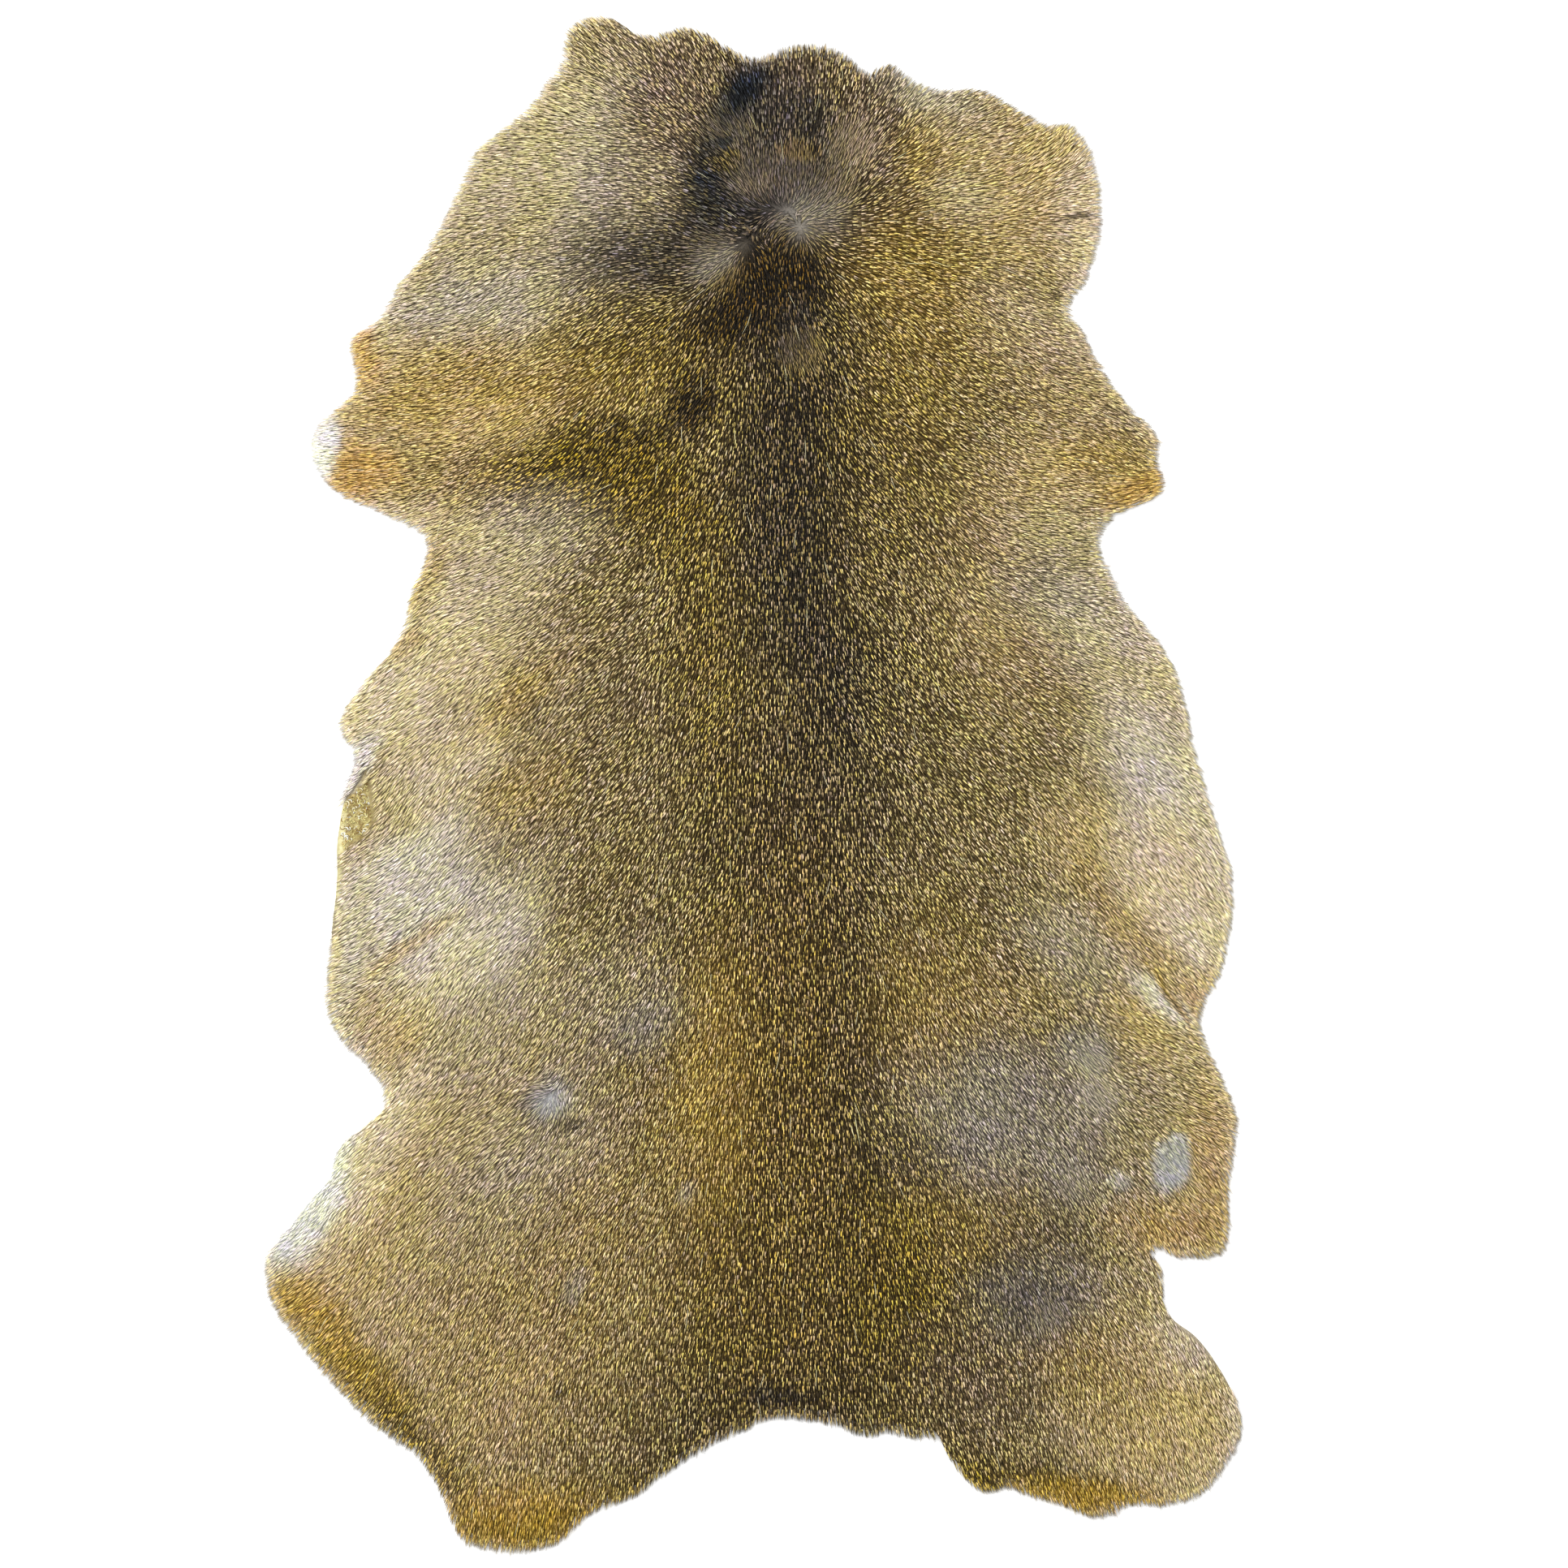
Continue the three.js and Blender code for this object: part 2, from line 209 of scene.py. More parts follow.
# The dark back stripe: pixel down, pixel across, half width in pixels, strength
STRIPE = [
    (300, 990, 40, 0.2), (380, 995, 50, 0.8), (480, 985, 56, 0.95), (640, 968, 54, 1.0),
    (740, 975, 46, 1.0), (830, 1018, 50, 1.0), (940, 1002, 60, 0.95), (1050, 975, 58, 0.85),
    (1150, 985, 54, 0.7), (1250, 1020, 46, 0.75), (1350, 1038, 40, 0.9), (1450, 1040, 38, 0.95),
    (1550, 1030, 40, 0.8), (1650, 1005, 60, 0.6), (1760, 975, 90, 0.8),
]
STRIPE_SPREAD = 1.15  # how far its tone spreads, in half widths
# From the stripe out to the sides: pixels from its middle, and the tone there
BASE = [(0, "olive"), (80, "olive"), (270, "side"), (520, "flank"), (620, "flank")]

# The paler tone along the rim
PALE_RIM = 16 * MM  # its width
PALE_RIM_STRENGTH = 0.35
PALE_RIM_COMES = (160, 320)  # the pixels down between which it comes in
PALE_RIM_GOES = (1300, 1500)  # and those between which it goes out

# How the edges of the stripe and of the patches wander: by how many pixels, over what width, and how far
# its seeds lie from the others
WANDER_WIDE = (9, 34 * MM, 0)
WANDER_SMALL = (5, 11 * MM, 7)

# Patches of other tones, in painting order: name, pixel across, pixel down, half length and half width in
# pixels, heading of the length in degrees, tone, strength, softness of the edge
PATCHES = [
    # neck
    ("left of the neck", 660, 215, 160, 120, 60, "straw", 0.85, 0.8),
    ("low left of the neck", 600, 318, 90, 46, 30, "side", 0.5, 0.9),
    ("left edge of the neck", 600, 250, 130, 30, 62, "straw", 0.5, 0.8),
    ("grey by the mane", 760, 205, 110, 60, 80, "pale grey", 0.6, 0.9),
    ("brown by the mane", 780, 205, 100, 40, 80, "pink brown", 0.5, 0.9),
    ("front left of the neck", 745, 60, 60, 30, 5, "pink brown", 0.3, 0.8),
    ("left of the whorls", 812, 315, 104, 48, 5, "taupe", 0.85, 0.8),
    ("beside the dark mane", 832, 118, 76, 50, 80, "pink brown", 0.95, 0.6),
    ("front right of the neck", 1095, 145, 70, 56, 70, "pink brown", 0.75, 0.7),
    ("front right edge", 1150, 118, 56, 26, -10, "pale grey", 0.75, 0.7),
    ("front right straw", 1195, 165, 56, 34, -15, "straw", 0.5, 0.8),
    ("right of the neck", 1270, 235, 96, 96, 0, "straw gold", 0.75, 0.8),
    ("right of the mane", 1140, 206, 50, 40, 60, "gold", 0.5, 0.8),
    ("brown right of the mane", 1075, 225, 60, 30, 80, "pink brown", 0.5, 0.9),
    ("pale spot right of the neck", 1180, 245, 44, 30, 10, "straw", 0.6, 0.8),
    ("right edge of the neck", 1336, 265, 86, 28, 88, "pink straw", 0.75, 0.8),
    ("gold low right of the neck", 1140, 345, 96, 66, -35, "gold", 0.5, 0.9),
    ("pale low right of the neck", 1285, 430, 80, 44, -48, "pink straw", 0.5, 0.9),
    ("mane", 950, 195, 124, 98, 86, "taupe", 0.92, 0.4),
    ("mane's front", 985, 88, 60, 30, 0, "pink brown", 0.55, 0.6),
    ("dark of the mane", 921, 108, 42, 20, 35, "blue black", 1.0, 0.6),
    ("dark left of the mane", 872, 205, 62, 26, 78, "blue black", 0.6, 0.6),
    ("gold left of the mane", 893, 192, 22, 14, 30, "dark gold", 0.3, 0.5),
    ("brown in the mane", 925, 226, 30, 14, 10, "pink brown", 0.6, 0.5),
    ("pale whorl", 995, 266, 44, 28, 10, "lilac grey", 0.5, 0.7),
    ("pale whorl's middle", 992, 266, 20, 13, 40, "pale grey", 0.3, 0.7),
    ("grey whorl", 885, 324, 36, 18, 30, "lilac grey", 0.5, 0.7),
    ("grey right of the whorls", 1040, 285, 26, 22, 0, "lilac grey", 0.12, 0.7),
    ("dark above the left whorl", 890, 255, 60, 30, 10, "blue black", 0.6, 0.8),
    ("dark left spot", 864, 222, 19, 12, 20, "blue black", 0.8, 0.5),
    ("small dark spot", 893, 165, 11, 8, 0, "blue black", 0.8, 0.4),
    ("speckled spot", 985, 181, 28, 13, 0, "rust", 0.75, 0.4),
    ("dark below the whorls", 962, 348, 56, 48, 90, "brown black", 1.0, 0.5),
    ("dark below the left whorl", 918, 386, 88, 38, 25, "brown black", 1.0, 0.7),
    ("taupe oval", 981, 414, 42, 20, 84, "taupe", 0.9, 0.4),
    # withers and left shoulder
    ("gold left of the withers", 800, 450, 96, 60, -20, "dark gold", 0.65, 0.9),
    ("gold right of the withers", 1130, 430, 120, 60, -80, "gold", 0.4, 0.9),
    ("grey above the left shoulder", 575, 375, 96, 44, 15, "pale grey", 0.75, 0.8),
    ("left shoulder", 580, 490, 170, 58, 4, "gold", 0.8, 0.8),
    ("left shoulder's corner", 452, 405, 30, 16, 40, "cream", 0.8, 0.6),
    ("gold at the corner", 444, 440, 38, 20, 85, "orange gold", 0.75, 0.6),
    ("tan of the left shoulder", 560, 590, 130, 44, 0, "hind", 0.8, 0.8),
    ("gold low on the left shoulder", 670, 590, 80, 50, 8, "dark gold", 0.75, 0.9),
    ("dark gold of the left shoulder", 732, 574, 90, 40, 4, "dark gold", 1.0, 0.7),
    ("dark below the left shoulder", 780, 594, 86, 44, -20, "brown black", 0.38, 0.9),
    ("darkest of the left shoulder", 775, 552, 46, 28, 20, "brown black", 0.7, 0.7),
    ("dark by the withers", 846, 500, 38, 32, 60, "brown black", 0.9, 0.7),
    ("golden brown below it", 800, 610, 80, 56, -40, "dark gold", 0.8, 0.8),
    ("light middle of the left shoulder", 590, 520, 66, 30, 0, "straw gold", 0.55, 0.9),
    ("left shoulder's tip", 436, 580, 50, 34, -12, "orange gold", 0.9, 0.6),
    ("white tip", 393, 553, 40, 17, 82, "white", 0.95, 0.5),
    ("pale left leg pit", 565, 652, 80, 26, -8, "pink straw", 0.4, 0.8),
    ("grey behind the left leg pit", 660, 650, 70, 44, 0, "pale grey", 0.5, 0.9),
    # left flank
    ("upper left flank", 560, 750, 80, 52, 20, "cream", 0.5, 0.8),
    ("pale upper left flank", 630, 700, 70, 36, 15, "straw", 0.35, 0.9),
    ("gold upper edge", 520, 715, 40, 18, 80, "gold", 0.55, 0.8),
    ("gold back on the left", 868, 745, 140, 46, 90, "dark gold", 0.5, 0.9),
    ("gold notch", 497, 795, 26, 13, 25, "gold", 0.6, 0.6),
    ("whitish left flank", 470, 870, 72, 44, 35, "cream", 0.75, 0.8),
    ("lip", 432, 950, 48, 17, 52, "ash", 1.0, 0.5),
    ("pale middle left flank", 560, 830, 60, 26, 30, "pink straw", 0.5, 0.8),
    ("gold fold of the left flank", 610, 880, 96, 22, 38, "gold", 0.6, 0.8),
    ("cream below the fold", 545, 945, 70, 44, 40, "cream", 0.55, 0.8),
    ("brown back on the left", 720, 880, 100, 60, 70, "pink brown", 0.3, 0.9),
    ("gold middle of the left flank", 650, 985, 60, 34, 55, "gold", 0.5, 0.9),
    ("gold back low on the left", 890, 900, 130, 36, 88, "dark gold", 0.35, 0.9),
    ("upper white streak", 500, 1060, 70, 26, 34, "white", 0.55, 0.9),
    ("lower white streak", 488, 1112, 46, 12, 25, "white", 0.5, 0.8),
    ("whitish middle", 545, 1120, 110, 60, 30, "ash", 0.95, 0.8),
    ("brown by the left flank", 632, 1062, 80, 36, 60, "side", 0.7, 0.9),
    ("pale back on the left", 785, 1080, 70, 50, 80, "side", 0.45, 0.9),
    ("grey left flank", 590, 1170, 70, 60, 50, "ash", 0.65, 0.8),
    ("gold streak of the left flank", 500, 1168, 74, 10, 32, "tan", 0.65, 0.6),
    ("pale lower left flank", 540, 1200, 80, 34, 45, "cream", 0.5, 0.8),
    ("left edge", 424, 1170, 90, 16, 86, "ash", 0.6, 0.7),
    ("lower left flank", 470, 1265, 46, 28, -45, "straw gold", 0.45, 0.8),
    ("gold above the left pit", 490, 1315, 60, 30, 70, "gold", 0.4, 0.9),
    ("grey lower left flank", 580, 1300, 60, 40, 60, "pale grey", 0.4, 0.9),
    ("grey stain left", 730, 1240, 90, 60, 20, "pale grey", 0.3, 0.9),
    # left hind
    ("cream of the left pit", 448, 1425, 100, 46, 58, "cream", 1.0, 0.7),
    ("gold inside the left pit", 510, 1390, 60, 14, 66, "gold", 0.2, 0.8),
    ("straw of the left hind", 420, 1530, 130, 60, 60, "straw gold", 0.9, 0.9),
    ("left hind", 640, 1600, 260, 160, 75, "hind", 0.8, 0.7),
    ("tan above the lower edge", 480, 1630, 110, 50, -50, "tan", 0.4, 0.9),
    ("cream inside the white edge", 440, 1452, 100, 34, 62, "cream", 0.75, 0.8),
    ("white edge of the left hind", 382, 1482, 116, 31, 66, "white", 1.0, 0.5),
    ("gold tip of the left hind", 376, 1604, 44, 24, -40, "orange gold", 0.7, 0.8),
    ("lower edge of the left hind", 494, 1762, 140, 30, -46, "dark gold", 0.8, 0.9),
    ("gold edge of the left hind", 416, 1664, 90, 26, -46, "bright gold", 0.75, 0.9),
    ("pale left hind", 630, 1730, 80, 44, 60, "tan", 0.6, 0.9),
    ("grey stain of the left hind", 640, 1430, 110, 60, 50, "pale grey", 0.45, 0.9),
    ("gold back on the left hind", 880, 1380, 190, 60, 88, "gold", 0.6, 0.9),
    ("gold low back on the left", 900, 1620, 130, 70, 80, "dark gold", 0.5, 0.9),
    ("grey spot", 678, 1350, 33, 25, 20, "lilac grey", 0.85, 0.5),
    ("grey spot's middle", 680, 1352, 20, 15, 20, "blue grey", 0.75, 0.6),
    ("dark under the grey spot", 700, 1384, 20, 9, 20, "taupe", 0.6, 0.6),
    ("grey by the back", 790, 1268, 44, 26, 30, "lilac grey", 0.6, 0.8),
    ("small grey spot", 704, 1588, 24, 14, 70, "lilac grey", 0.5, 0.6),
    ("small dark spot low", 696, 1718, 12, 8, 40, "blue black", 0.5, 0.5),
    ("small grey spot by the back", 842, 1476, 15, 12, 0, "lilac grey", 0.55, 0.5),
    ("gold end of the left hind", 645, 1874, 95, 32, 8, "bright gold", 0.95, 0.8),
    ("light gold above it", 612, 1846, 50, 18, 4, "orange gold", 0.4, 0.9),
    ("dark gold low edge", 760, 1840, 80, 16, 30, "dark gold", 0.5, 0.8),
    # right side
    ("right shoulder", 1290, 470, 100, 56, -40, "hind", 0.65, 0.9),
    ("straw of the right shoulder", 1310, 585, 70, 48, -10, "straw gold", 0.6, 0.9),
    ("pale side of the right shoulder", 1228, 640, 62, 58, 0, "tan", 0.5, 0.9),
    ("upper back", 980, 540, 240, 64, 90, "brown black", 0.42, 0.8),
    ("gold back on the right", 1110, 560, 150, 70, -80, "dark gold", 0.4, 0.9),
    ("gold of the right shoulder", 1375, 570, 64, 34, 0, "gold", 0.6, 0.8),
    ("right shoulder's tip", 1408, 600, 46, 17, 18, "orange gold", 0.85, 0.6),
    ("right leg pit", 1310, 660, 70, 28, -10, "straw", 0.55, 0.8),
    ("upper right flank", 1300, 750, 84, 48, -15, "pale grey", 0.65, 0.9),
    ("olive beside it", 1165, 730, 56, 44, 90, "olive", 0.4, 0.9),
    ("right flank", 1400, 850, 120, 60, -66, "cream", 0.5, 0.9),
    ("pale middle on the right", 1230, 790, 90, 60, -60, "tan", 0.5, 0.9),
    ("straw low on the right", 1330, 1030, 50, 40, -60, "straw gold", 0.5, 0.9),
    ("whitish right flank", 1440, 990, 100, 50, -60, "ash", 0.95, 0.8),
    ("cream right flank", 1450, 1112, 122, 68, -76, "pink straw", 1.0, 0.7),
    ("whitish low right flank", 1475, 1165, 56, 30, -70, "cream", 0.9, 0.8),
    ("right edge", 1500, 1060, 110, 16, -76, "cream", 0.8, 0.8),
    ("gold inside the right flank", 1398, 1150, 116, 22, -53, "gold", 0.55, 0.9),
    ("gold low right flank", 1478, 1225, 34, 20, 70, "orange gold", 0.4, 0.8),
    ("gold below the crease", 1352, 1224, 80, 16, -38, "dark gold", 0.35, 0.9),
    ("crease's pale side", 1430, 1241, 46, 13, -36, "white", 0.85, 0.6),
    ("beyond the crease", 1320, 1180, 70, 34, -50, "pale grey", 0.5, 0.9),
    ("straw beyond the crease", 1410, 1265, 50, 26, -50, "straw gold", 0.6, 0.9),
    ("crease's gold side", 1440, 1236, 56, 6, -54, "gold", 0.85, 0.6),
    # right hind
    ("stained rump", 1240, 1400, 130, 116, -20, "lilac grey", 0.5, 0.7),
    ("stain's middle", 1225, 1370, 84, 66, -20, "lilac grey", 0.6, 0.8),
    ("grey patch", 1338, 1297, 42, 27, -10, "lilac grey", 0.8, 0.4),
    ("beige grey below the patch", 1350, 1346, 42, 32, 100, "pale grey", 0.5, 0.6),
    ("grey below the patch", 1322, 1455, 48, 36, 80, "lilac grey", 0.55, 0.8),
    ("low stain", 1262, 1530, 76, 56, 0, "taupe", 0.4, 0.8),
    ("small blue grey spot", 1380, 1450, 15, 11, 70, "blue grey", 0.5, 0.4),
    ("gold edge of the right hind", 1495, 1430, 90, 30, 92, "orange gold", 0.5, 0.9),
    ("gold of the right hind", 1440, 1510, 66, 30, 0, "orange gold", 0.6, 0.9),
    ("blue grey oval", 1443, 1430, 38, 22, 58, "blue grey", 0.98, 0.25),
    ("olive above it", 1130, 1240, 110, 60, 80, "gold", 0.4, 0.9),
    ("gold low back on the right", 1100, 1580, 140, 90, -80, "dark gold", 0.85, 0.8),
    ("golden low back", 970, 1380, 370, 76, 90, "low back", 0.88, 0.8),
    ("light left of the low back", 888, 1345, 140, 34, 88, "gold", 0.6, 0.9),
    ("light above the rump", 1208, 1235, 70, 44, 0, "hind", 0.6, 0.9),
    ("light left of the low stain", 1200, 1500, 90, 46, 0, "gold", 0.4, 0.9),
    ("brown low on the right", 1200, 1700, 80, 50, -30, "pink brown", 0.6, 0.9),
    ("whitish right lobe", 1468, 1664, 50, 34, -40, "ash", 0.8, 0.6),
    ("tan right lobe", 1428, 1750, 100, 84, 80, "straw gold", 0.82, 0.8),
    ("gold low right", 1290, 1830, 110, 22, -12, "dark gold", 0.6, 0.8),
    ("brown of the right lobe", 1336, 1680, 90, 52, -60, "hind", 0.85, 0.8),
    ("low grey patch", 1278, 1604, 66, 52, 0, "lilac grey", 0.7, 0.7),
    ("dark of the low grey patch", 1276, 1604, 52, 42, 0, "taupe", 0.5, 0.8),
    ("gold end of the right lobe", 1340, 1850, 80, 20, -8, "bright gold", 0.9, 0.7),
    ("gold corner of the right lobe", 1208, 1824, 34, 14, -44, "dark gold", 0.85, 0.6),
    ("outer edge of the right lobe", 1520, 1760, 60, 10, 88, "cream", 0.5, 0.7),
    ("tail edge", 962, 1722, 40, 13, 0, "blue black", 0.6, 0.6),
    ("slit in the right edge of the neck", 1334, 270, 22, 3, 12, "brown black", 0.75, 0.4),
    ("rust spot", 1300, 366, 10, 7, 0, "rust", 0.5, 0.4),
]
# Where the hair is short, fine and soft: pixel across, pixel down, half size in pixels
FINE_HAIR = [
    (900, 165, 30), (935, 225, 40), (1020, 235, 36), (884, 318, 36), (992, 266, 38), (1045, 185, 34),
    (975, 212, 34), (986, 424, 30), (678, 1354, 28), (1445, 1430, 32), (1380, 1450, 12), (398, 1436, 26),
    (374, 1488, 26), (352, 1536, 20), (1340, 1300, 25), (1350, 1345, 24), (1322, 1455, 22),
    (1288, 1612, 26), (704, 1588, 14), (842, 1476, 12),
]

# The bare patch of torn skin on the left flank, the bare edge below it, and the cut edge of the lip above
# it, as pixels across and down
BARE_PATCH = [
    (454, 950), (456, 974), (460, 1000), (460, 1018), (455, 1030), (440, 1034), (431, 1046), (424, 1064),
    (412, 1062), (412, 1012), (416, 992), (428, 984), (440, 970), (447, 960),
]
BARE_STRIP = [(412, 1056), (422, 1058), (420, 1090), (417, 1132), (408, 1138), (408, 1080)]
BARE_EDGE = 426  # pixel across up to which the bare skin is pale
STRIP_CALM = 22 * MM  # how near the bare strip's corners the skin keeps to the rim
STRIP_INSET = 0.3 * MM  # and how close
BARE_BLEND = 3 * MM  # over which the under-hair gives way to bare skin
BARE_CLEAR = 2.2 * MM  # locks whose tips lie further in than this are left out
LIP = [(455, 946), (448, 958), (440, 970), (428, 984), (419, 994)]
# The tones of the torn shreds, as 8-bit screen values, and the share of the shreds that has each
SHRED_TONES = [
    ((222, 212, 144), 0.3), ((240, 240, 232), 0.14), ((206, 184, 120), 0.26), ((146, 116, 62), 0.18),
    ((232, 224, 186), 0.12),
]
PATCH_SHREDS = 210  # shreds on the bare patch
STRIP_SHREDS = 12  # shreds on the bare edge below it

# The single long white hairs: pixel across, pixel down of the root, length in pixels
LONG_WHITE_HAIRS = [(1100, 1316, 44), (1052, 1366, 46), (824, 1500, 50), (1112, 1322, 30), (1046, 1376, 30)]
LONG_HAIR_SPACING = 42 * MM  # between the others, over the whole coat
LONG_HAIR_LENGTHS = (14, 22)  # mm, of those others
LONG_HAIR_RADIUS = 0.22 * MM  # at the root
WHITE_THICKER = 1.4  # times as thick as the others are the white ones


def linear(screen):
    """An 8-bit screen colour as a linear one."""
    share = np.asarray(screen, float) / 255
    return np.where(share <= 0.04045, share / 12.92, ((share + 0.055) / 1.055) ** 2.4)


def placed(pixels):
    """Photo pixels as places on the floor, in metres."""
    pixels = np.asarray(pixels, float)
    return np.stack([pixels[..., 0] - MIDDLE_PIXEL[0], MIDDLE_PIXEL[1] - pixels[..., 1]], -1) * M_PER_PIXEL


def pixels_of(places):
    """Places on the floor as photo pixels."""
    return np.stack(
        [places[..., 0] / M_PER_PIXEL + MIDDLE_PIXEL[0], MIDDLE_PIXEL[1] - places[..., 1] / M_PER_PIXEL], -1
    )


def unit(vectors):
    """The vectors at length one."""
    return vectors / np.maximum(np.linalg.norm(vectors, axis=-1, keepdims=True), 1e-12)


def soft_step(value):
    """0 to 1 with soft ends."""
    share = np.clip(value, 0, 1)
    return share * share * (3 - 2 * share)


def left_of(towards):
    """The flat directions a quarter turn to the left of these."""
    return np.stack([-towards[:, 1], towards[:, 0]], -1)


def lumps(places, cell, seed):
    """Soft random values from -1 to 1 over the floor, one lump for each cell."""
    side = 128
    lattice = np.random.default_rng(seed).uniform(-1, 1, (side, side))
    spot = places / cell + side / 2
    low = np.floor(spot).astype(int)
    share = soft_step(spot - low)
    i, j = low[..., 0] % side, low[..., 1] % side
    k, m = (i + 1) % side, (j + 1) % side
    near = lattice[i, j] * (1 - share[..., 0]) + lattice[k, j] * share[..., 0]
    far = lattice[i, m] * (1 - share[..., 0]) + lattice[k, m] * share[..., 0]
    return near * (1 - share[..., 1]) + far * share[..., 1]


def inside(places, polygon):
    """Whether each place lies in the polygon."""
    x, y = places[..., 0], places[..., 1]
    odd = np.zeros(x.shape, bool)
    for (ax, ay), (bx, by) in zip(polygon, np.roll(polygon, -1, axis=0)):
        crosses = (ay > y) != (by > y)
        odd ^= crosses & (x < (bx - ax) * (y - ay) / (by - ay + 1e-15) + ax)
    return odd


def distance_to_line(places, line, closed=False):
    """How far each place is from a line of points."""
    ends = np.roll(line, -1, axis=0) if closed else line[1:]
    nearest = np.full(places.shape[:-1], np.inf)
    for start, end in zip(line, ends):
        side = end - start
        share = np.clip(((places - start) @ side) / max(side @ side, 1e-18), 0, 1)
        foot = start + share[..., None] * side
        nearest = np.minimum(nearest, np.linalg.norm(places - foot, axis=-1))
    return nearest


class Field:
    """Values on a grid over the floor, read between its points."""

    def __init__(self, low, values):
        self.low = low
        self.values = values

    def at(self, places):
        """The value at each place."""
        spot = (places - self.low) / FIELD_STEP
        most = np.array(self.values.shape[:2]) - 1.001
        spot = np.clip(spot, 0, most)
        cell = np.floor(spot).astype(int)
        share = spot - cell
        i, j = cell[..., 0], cell[..., 1]
        s, t = share[..., 0], share[..., 1]
        if self.values.ndim == 3:
            s, t = s[..., None], t[..., None]
        v = self.values
        near = v[i, j] * (1 - s) + v[i + 1, j] * s
        far = v[i, j + 1] * (1 - s) + v[i + 1, j + 1] * s
        return near * (1 - t) + far * t

    def slope(self):
        """The field of this one's slopes."""
        across, along = np.gradient(self.values, FIELD_STEP)
        return Field(self.low, np.stack([across, along], -1))


def blurred(values, reach):
    """A grid with a soft blur of that reach in points."""
    width = int(3 * reach) + 1
    weights = np.exp(-0.5 * (np.arange(-width, width + 1) / reach) ** 2)
    weights /= weights.sum()
    for axis in (0, 1):
        padded = np.pad(values, [(width, width) if axis == k else (0, 0) for k in (0, 1)], mode="edge")
        values = np.apply_along_axis(lambda row: np.convolve(row, weights, "valid"), axis, padded)
    return values


def solid_rim(node):
    """The solid's outline on the floor, in order, counterclockwise seen from above."""
    bm = bmesh.new()
    bm.from_mesh(node.data)
    bmesh.ops.remove_doubles(bm, verts=bm.verts[:], dist=1e-6)
    on_floor = [f for f in bm.faces if all(v.co.z < 1e-5 for v in f.verts)]
    floor_faces = set(on_floor)
    follows = {}
    for face in on_floor:
        for loop in face.loops:
            if sum(f in floor_faces for f in loop.edge.link_faces) == 1:
                follows[loop.vert] = loop.link_loop_next.vert
    start = next(iter(follows))
    line, at = [start], follows[start]
    while at is not start:
        line.append(at)
        at = follows[at]
    points = np.array([v.co.xy for v in line])
    bm.free()
    ends = np.roll(points, -1, axis=0)
    area = float((points[:, 0] * ends[:, 1] - ends[:, 0] * points[:, 1]).sum() / 2)
    return points if area > 0 else points[::-1]


def even_line(points, step):
    """A closed line as evenly spaced points."""
    ring = np.vstack([points, points[:1]])
    travel = np.concatenate([[0], np.cumsum(np.linalg.norm(np.diff(ring, axis=0), axis=1))])
    stations = np.linspace(0, travel[-1], max(3, round(travel[-1] / step)), endpoint=False)
    return np.stack([np.interp(stations, travel, ring[:, k]) for k in (0, 1)], -1)


def smooth_ring(values, step, reach):
    """Values at even points of a closed line, with a soft blur along it."""
    count = len(values)
    offset = np.minimum(np.arange(count), count - np.arange(count)) * step
    weights = np.exp(-0.5 * (offset / reach) ** 2)
    weights /= weights.sum()
    return np.fft.irfft(np.fft.rfft(values) * np.fft.rfft(weights), count)


def smooth_line(points, step, reach):
    """A closed line of even points with a soft blur along it."""
    return np.stack([smooth_ring(points[:, k], step, reach) for k in (0, 1)], -1)


